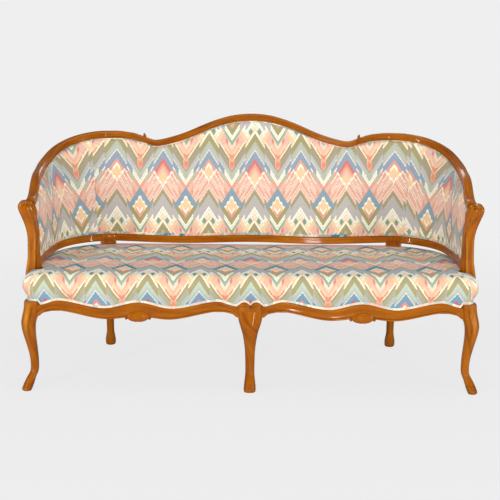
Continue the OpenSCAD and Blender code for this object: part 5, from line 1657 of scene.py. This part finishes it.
back_peak_z, back_peak_x, seat_peak_y = 952, 0.0133, 0.034
back_peak_up = (back_peak_z - lower_mid_z) * mm / cos(radians(lean_back))
back_cloth = flame_cloth("flame cloth of the back", back_peak_up, back_peak_x, yarn)
seat_cloth = flame_cloth("flame cloth of the seat", seat_peak_y, 0.0, seat_dyes)
seat_strip = flame_cloth("bias strip of the seat", seat_peak_y, 0.0, paler(seat_dyes, 0.55))
crest_strip = flame_cloth("bias strip of the crest", 0.0, 0.0, yarn)
back_strip = flame_cloth("bias strip of the back", 0.0, 0.0, seat_dyes)


press, press_frames = 4.0, 18
# how firmly the cloth is fastened, and how far in millimetres it may swell
held_side, held_top, held_seam, held_back = 0.10, 0.30, 0.7, 0.06
seat_swell, back_swell = 6, 4.5


def fill_out(piece, held, most):
    """Lets the stuffing press the cloth outwards: held gives how firmly each point is fastened."""
    before = [v.co.copy() for v in piece.data.vertices]
    group = piece.vertex_groups.new(name="held")
    for i, weight in enumerate(held):
        if weight > 0:
            group.add([i], weight, "REPLACE")
    cloth = piece.modifiers.new("cloth", "CLOTH")
    s = cloth.settings
    s.quality = 5
    s.mass = 0.3
    s.tension_stiffness = 18
    s.compression_stiffness = 18
    s.shear_stiffness = 6
    s.bending_stiffness = 0.6
    s.vertex_group_mass = "held"
    s.use_pressure = True
    s.uniform_pressure_force = press
    s.effector_weights.gravity = 0
    cloth.collision_settings.use_collision = False
    cloth.point_cache.frame_start, cloth.point_cache.frame_end = 1, press_frames
    for f in range(1, press_frames + 1):
        scene.frame_set(f)
    fixed_mesh(piece)
    scene.frame_set(1)
    limit = most * mm
    for v, old in zip(piece.data.vertices, before):
        move = v.co - old
        if move.length > limit:
            v.co = old + move * (limit / move.length)
    piece.vertex_groups.clear()


def give_thickness(piece, thick):
    shell = piece.modifiers.new("thickness", "SOLIDIFY")
    shell.thickness = thick * mm
    shell.offset = -1
    shell.use_even_offset = False
    return fixed_mesh(piece)


def cut_away(piece, planes, near):
    """Cuts out of an open sheet what lies behind all the planes, each a place and an outward direction."""
    bm = bmesh.new()
    bm.from_mesh(piece.data)
    low, high = near

    def beside(f):
        return all(low[i] < f.calc_center_median()[i] < high[i] for i in range(3))
    for place, out in planes:
        faces = [f for f in bm.faces if beside(f)]
        edges = list({e for f in faces for e in f.edges})
        verts = list({v for f in faces for v in f.verts})
        bmesh.ops.bisect_plane(bm, geom=verts + edges + faces, plane_co=place, plane_no=out, dist=1e-6)
    gone = [f for f in bm.faces if beside(f)
            and all((f.calc_center_median() - place).dot(out) < 0 for place, out in planes)]
    bmesh.ops.delete(bm, geom=gone, context="FACES")
    bm.to_mesh(piece.data)
    bm.free()


# Seat cover
# One cut of the cloth is drawn down over the sprung and stuffed seat, tacked in the rebate
# above the rails and the legs, and cut out round the arm posts and the back legs.
seat_top, seat_fall, seat_bulge, corner_round = 470, 8, 12, 26
over_rail, edge_in = rail_top + gap, rebate - gap - cloth
front_count, corner_count, side_count, line_count = 96, 8, 10, 118
inner_in = 104
notch_room, notch_reach, notch_low, notch_high = 1.5, 30, 300, 520


def seat_half_plan(inset):
    """Left half of the seat's outline at an inset, from the front's middle to the back's middle."""
    r = corner_round - inset if inset < 0 else corner_round + inset * 0.25
    x_end = seat_half - inset - r
    row = [((-x_end * k / front_count, front_set + inset), (0, -1)) for k in range(front_count)]
    for k in range(corner_count + 1):
        a = pi / 2 * k / corner_count
        row.append(((-x_end - r * sin(a), front_set + inset + r - r * cos(a)), (-sin(a), -cos(a))))
    y0 = front_set + inset + r
    for k in range(1, side_count + 1):
        row.append(((-seat_half + inset, y0 + (post_back - y0) * k / side_count), (-1, 0)))
    for k in range(1, line_count + 1):
        s = run_half * k / line_count
        a, b = (Vector(left_place(s, frame_in + step - inset)) for step in (0, 1))
        row.append((tuple(a), tuple(b - a)))
    return row


def seat_plan(inset):
    half = seat_half_plan(inset)
    return half + [((-p[0], p[1]), (-n[0], n[1])) for p, n in reversed(half[1:-1])]


def cover_low(x):
    """Height of the wood that the cover's lower edge follows."""
    x = abs(x)
    if x >= leg_inner - gap:
        return show_top
    return max(lobe_top(x), front_top(centre_half)) if x <= centre_half else front_top(x)


def crown_at(y, share):
    return over_rail + (seat_top + seat_fall * (0.5 - y / seat_depth) - over_rail) * share


def seat_profile(x, y):
    """Inset and height from the tacked edge, over the round side, to the flat of the seat."""
    low = cover_low(x) + gap
    keys = [(edge_in, low), (edge_in, low + 5.4), (edge_in - 0.4, low + 10.8),
            (-seat_bulge * 0.97, over_rail), (-seat_bulge * 0.8, crown_at(y, 0.45)),
            (seat_bulge * 0.3, crown_at(y, 0.8)), (seat_bulge * 2.6, crown_at(y, 0.94)),
            (inner_in, crown_at(y, 1))]
    return smooth_through(keys, (2, 2, 8, 5, 6, 6, 7))


def seat_surface():
    inner = seat_plan(inner_in)
    n = len(inner)
    profiles = [seat_profile(p[0], p[1]) for p, out in seat_plan(0)]
    rows = len(profiles[0])
    verts, maps = [], []
    plans = {}
    for k in range(rows):
        for j in range(n):
            inset, z = profiles[j][k]
            key = round(inset, 3)
            if key not in plans:
                plans[key] = seat_plan(key)
            x, y = plans[key][j][0]
            verts.append(put(x, y, z))
    for k in range(rows):
        for j in range(n):
            line = profiles[j][k:]
            length = sum(hypot(a[0] - b[0], a[1] - b[1]) for a, b in zip(line, line[1:]))
            (x, y), out = plans[round(line[0][0], 3)][j]
            x_in, y_in = inner[j][0]
            length -= (x - x_in) * out[0] + (y - y_in) * out[1]
            maps.append(((x + out[0] * length) * mm, (y + out[1] * length) * mm))
    faces = [(k * n + j, k * n + (j + 1) % n, (k + 1) * n + (j + 1) % n, (k + 1) * n + j)
             for k in range(rows - 1) for j in range(n)]
    ring = [Vector((p[0], p[1])) for p, out in inner]
    step, spots = 13.5, []
    low_x, low_y = min(p.x for p in ring), min(p.y for p in ring)
    high_x, high_y = max(p.x for p in ring), max(p.y for p in ring)
    across, deep = round((high_x - low_x) / step), round((high_y - low_y) / step)
    for i in range(1, across):
        for j in range(1, deep):
            spot = Vector((low_x + (high_x - low_x) * (i + 0.5 * (j % 2)) / across,
                           low_y + (high_y - low_y) * j / deep))
            if is_inside(spot, ring) and min((spot - q).length for q in ring) > step * 0.55:
                spots.append(spot)
    border = [(i, (i + 1) % n) for i in range(n)]
    filled = delaunay_2d_cdt(ring + spots, border, [], 1, 0.001)
    out_verts, out_faces = filled[0], filled[2]
    base = (rows - 1) * n
    index = []
    for i, p in enumerate(out_verts):
        if i < n:
            index.append(base + i)
        else:
            index.append(len(verts))
            verts.append(put(p.x, p.y, crown_at(p.y, 1)))
            maps.append((p.x * mm, p.y * mm))
    faces += [tuple(index[i] for i in f) for f in out_faces]
    return verts, faces, maps, rows, n


def is_inside(spot, ring):
    inside = False
    for a, b in zip(ring, ring[1:] + ring[:1]):
        if (a.y > spot.y) != (b.y > spot.y) and spot.x < a.x + (b.x - a.x) * (spot.y - a.y) / (b.y - a.y):
            inside = not inside
    return inside


def faces_up(verts, faces, test):
    """The faces turned so that the one that test picks looks the way it says."""
    f, way = test
    a, b, c = (verts[i] for i in faces[f][:3])
    return [q[::-1] for q in faces] if (b - a).cross(c - a).dot(way) < 0 else faces


verts, faces, maps, rows, n = seat_surface()
ring_faces = faces_up(verts, faces[:(rows - 1) * n], (n * 6, Vector((0, -1, 0))))
top_faces = faces_up(verts, faces[(rows - 1) * n:], (5, Vector((0, 0, 1))))
faces = ring_faces + top_faces
face_maps = [[maps[i] for i in f] for f in faces]
seat_cover = cloth_mesh("seat_cover_cloth", verts, faces, face_maps, seat_cloth)
held = []
for i in range(len(verts)):
    k = i // n
    held.append(1.0 if k < 5 else held_side if k < rows - 8 else held_top)
fill_out(seat_cover, held, seat_swell)


def post_notch(side):
    """Planes round the place of an arm post, each with its outward direction."""
    y0, y1 = post_back - post_deep - notch_room, post_back + notch_room
    x_in, x_out = side * (side_x - 12), side * (seat_half + 60)
    near = (put(min(x_in, x_out) - notch_reach, y0 - notch_reach, notch_low),
            put(max(x_in, x_out) + notch_reach, y1 + notch_reach, notch_high))
    planes = [(put(x_in, 0, 0), Vector((-side, 0, 0))), (put(0, y0, 0), Vector((0, -1, 0))),
              (put(0, y1, 0), Vector((0, 1, 0)))]
    return planes, near


def stile_notch(side):
    """The same round the block of a back leg."""
    half = stile_wide / 2 + notch_room
    middle, ahead = upright(stile_mid, 0, -5.5), upright(stile_mid, 0, -6.5)
    out = (middle - ahead).normalized()
    along = Vector((out.y, -out.x, 0))
    planes = [(middle, -out), (middle + along * half * mm, along), (middle - along * half * mm, -along)]
    if side > 0:
        planes = [(Vector((-p.x, p.y, 0)), Vector((-v.x, v.y, 0))) for p, v in planes]
    x = side * stile_x
    return planes, (put(x - half - 40, wall_back - 60, notch_low),
                    put(x + half + 40, wall_back + 120, notch_high))


for side in (-1, 1):
    cut_away(seat_cover, *post_notch(side))
    cut_away(seat_cover, *stile_notch(side))
give_thickness(seat_cover, cloth)
fitted(seat_cover, "seat_cover")

# Piping
# Cord wrapped in bias strips of the same cloth: two lines over the tacked edge of the seat
# cover, one along the crest rail and two along the lower rail.
cord_wide, piping_clear, piping_end = 5, 3, 1.5


def edge_places(inset, lift):
    """Places along the cover's lower edge, in four lengths between the posts and the back legs."""
    half = seat_half_plan(inset)
    front_end = post_back - post_deep - notch_room
    lines = [[], [], []]
    for k, ((x, y), out) in enumerate(half):
        z = cover_low(x if k < front_count + corner_count + 1 else seat_half) + gap + lift
        s = run_half * (k - (len(half) - 1 - line_count)) / line_count
        if k < front_count + corner_count + 1 or (s <= 0 and y < front_end):
            lines[0].append(put(x, y, z))
        elif piping_clear < s < stile_a - piping_clear:
            lines[1].append(put(x, y, z))
        elif s > stile_b + piping_clear:
            lines[2].append(put(x, y, z))
    lines[0].append(put(-seat_half + inset, front_end, show_top + gap + lift))
    lines[1].insert(0, upright(piping_end, show_top + gap + lift, frame_in - inset))
    lines[1].append(upright(stile_a - piping_end, show_top + gap + lift, frame_in - inset))
    lines[2].insert(0, upright(stile_b + piping_end, show_top + gap + lift, frame_in - inset))
    front = mirrored(lines[0], -1)[::-1][:-1] + lines[0]
    back = lines[2] + mirrored(lines[2], -1)[::-1][1:]
    return [front, lines[1], mirrored(lines[1], -1), back]


cord_r = cord_wide / 2
low_cord = edge_places(edge_in - gap - cord_r, cord_r)
high_cord = edge_places(edge_in - gap - cord_r, cord_r * 3 - 0.1)
cord("seat_piping_cord", low_cord + high_cord, [cord_r - 0.02] * 8, "seat_piping",
     seat_strip)


def rail_line(height, out, ends=gap):
    last = 2 * run_half - ends
    row = [ends] + [s for s in steps(0, 2 * run_half, 7) if ends + 2 < s < last - 2] + [last]
    return [wall(s, height(s), out) for s in row]


crest_cord = rail_line(lambda s: crest_low(s) - gap - cord_r, 0.5)
cord("crest_piping_cord", [crest_cord], [cord_r], "crest_piping", crest_strip)
lower_cords = [rail_line(lambda s: lower_top(s) + gap + cord_r, 0.5),
               rail_line(lambda s: lower_top(s) + gap + 3 * cord_r, -1.2, 2)]
cord("lower_piping_cord", lower_cords, [cord_r] * 2, "lower_piping",
     back_strip)

# Inside back
# The stuffed front of the back and arms is one tight cover with a sewn seam at each corner,
# where the cloth of the arm starts again lower in its pattern.
back_bulge, seam_at, arm_shift = 14, 495, (0.057, 0.036)
cover_out = cord_wide * 0.6 + gap


def back_stations():
    half = [gap, 4] + spread(10, seam_at - 7, 54) + [seam_at - 4, seam_at - 2, seam_at]
    half += [seam_at + 2, seam_at + 4] + spread(seam_at + 7, run_half, 74)
    return half + [2 * run_half - s for s in reversed(half[:-1])]


def back_profile(s):
    """Section of the stuffed back: outward place and height, from the lower rail to the crest."""
    low, high = lower_top(s) + gap, crest_low(s) - gap
    q = folded(s)
    bulge = back_bulge * level_ends([[0, 0.05], [post_deep * 1.6, 1]], q)
    bulge -= 1.5 * exp(-((q - seam_at) / 2.6) ** 2) + 1.2 * exp(-((q - seam_at) / 9) ** 2)
    keys = [(cover_out, low), (cover_out, low + 5.5)]
    swell = (0.3, 0.05), (0.85, 0.24), (1, 0.48), (0.85, 0.77), (0.3, 0.95)
    keys += [(-bulge * a, low + (high - low) * b) for a, b in swell]
    keys += [(cover_out, high - 5.5), (cover_out, high)]
    return smooth_through(keys, (1, 3, 6, 8, 9, 7, 3, 1))


def back_sheet(name, profile, stations, material, arm_shift=(0, 0)):
    verts, maps, faces, uvs = [], [], [], []
    rows = len(profile(stations[0]))
    for s in stations:
        for o, z in profile(s):
            verts.append(wall(s, z, o))
            maps.append(((s - run_half) * mm, (z - lower_mid_z) * mm / cos(radians(lean_back))))
    for c in range(len(stations) - 1):
        middle = (stations[c] + stations[c + 1]) / 2
        arm = folded(middle) < seam_at
        move = (arm_shift[0] * (1 if middle < run_half else -1), arm_shift[1]) if arm else (0, 0)
        for r in range(rows - 1):
            f = (c * rows + r, (c + 1) * rows + r, (c + 1) * rows + r + 1, c * rows + r + 1)
            faces.append(f)
            uvs.append([(maps[i][0] + move[0], maps[i][1] + move[1]) for i in f])
    return cloth_mesh(name, verts, faces, uvs, material), rows


stations = back_stations()
back_cover, rows = back_sheet("inside_back_cloth", back_profile, stations, back_cloth, arm_shift)
held = []
for c, s in enumerate(stations):
    near_seam = abs(folded(s) - seam_at) < 3
    for r in range(rows):
        edge = r < 4 or r > rows - 5 or c < 2 or c > len(stations) - 3
        held.append(1.0 if edge else held_seam if near_seam else held_back)
fill_out(back_cover, held, back_swell)
give_thickness(back_cover, cloth)
fitted(back_cover, "inside_back_cover")

# Outside back
# The same cloth, pulled flat between the crest rail, the lower rail and the posts, covers
# the back of the frame.


def outside_profile(s):
    low, high = lower_top(s) + gap, crest_low(s) - gap
    flat = tongue_back + gap + cloth
    sag = 2.2 * level_ends([[0, 0], [90, 1]], folded(s))
    rows = 16
    return [(flat - sag * sin(pi * r / rows), low + (high - low) * r / rows) for r in range(rows + 1)]


outside, rows = back_sheet("outside_back_cloth", outside_profile, stations, back_cloth)
outside.data.flip_normals()
outside_thick = 1.2
give_thickness(outside, outside_thick)
fitted(outside, "outside_back_cover")

# Dust cover
# Thin black lining closes the underside between the legs. Its edge is turned up to the
# rails and held by round-headed tacks, which geometry nodes set along it.
dust_low = rail_low - 2 * strap_thick - gap - 1
lining_black = [(0.3, (0.006, 0.006, 0.007)), (0.7, (0.030, 0.030, 0.032))]
lining = plain_weave("black lining", lining_black, 900, mapped=False)
dust_cover = worked_copy("dust_cover", "dust_lining", lining, finest=0.05)
hang_x, hang_y, hang_deep = 0.78, 0.27, 0.004
for v in dust_cover.data.vertices:
    hang = max(0.0, 1 - (v.co.x / hang_x) ** 4) * max(0.0, 1 - (v.co.y / hang_y) ** 2)
    v.co.z -= hang_deep * hang * (1.0 if v.co.z < (dust_low + 1.5) * mm else 0.0)
tack_sizes = {"Spacing": 0.055, "Head": 0.0045, "Flatness": 0.45}
tack_tree, given, result, keys = geometry_tree("tacks", tack_sizes)
line = node_step(tack_tree, "GeometryNodeMeshToCurve", {}, {"Mesh": given["Places"]})
spaced = node_step(tack_tree, "GeometryNodeResampleCurve", {}, {"Curve": line.outputs[0]})
spaced.mode = "LENGTH"
tack_tree.links.new(given["Spacing"], spaced.inputs["Length"])
head = node_step(
    tack_tree, "GeometryNodeMeshUVSphere", {"Segments": 10, "Rings": 6}, {"Radius": given["Head"]})
flat = node_step(tack_tree, "ShaderNodeCombineXYZ", {"X": 1.0, "Y": 1.0}, {"Z": given["Flatness"]})
domes = node_step(
    tack_tree, "GeometryNodeTransform", {}, {"Geometry": head.outputs[0], "Scale": flat.outputs[0]})
real_copies(tack_tree, spaced.outputs[0], domes.outputs[0], zinc, result)
tack_in, tack_clear = 12, 14
tack_y = front_set + rail_thick + tack_in
tack_lines = [[(-leg_inner + 20, tack_y), (-centre_half - tack_clear, tack_y)]]
tack_lines.append([(-x, y) for x, y in reversed(tack_lines[0])])
edge = [left_place(s, frame_in - tack_in) for s in steps(4, stile_a - tack_clear, tack_in)]
tack_lines += [edge, [(-x, y) for x, y in edge]]
edge = [left_place(s, frame_in - tack_in) for s in steps(stile_b + tack_clear, run_half, tack_in)]
tack_lines.append(edge + [(-x, y) for x, y in reversed(edge[:-1])])
places, edges = [], []
for row in tack_lines:
    edges += [(len(places) + i, len(places) + i + 1) for i in range(len(row) - 1)]
    places += [put(x, y, dust_low) for x, y in row]
grown("lining_tacks", tack_tree, keys, tack_sizes, places, edges)
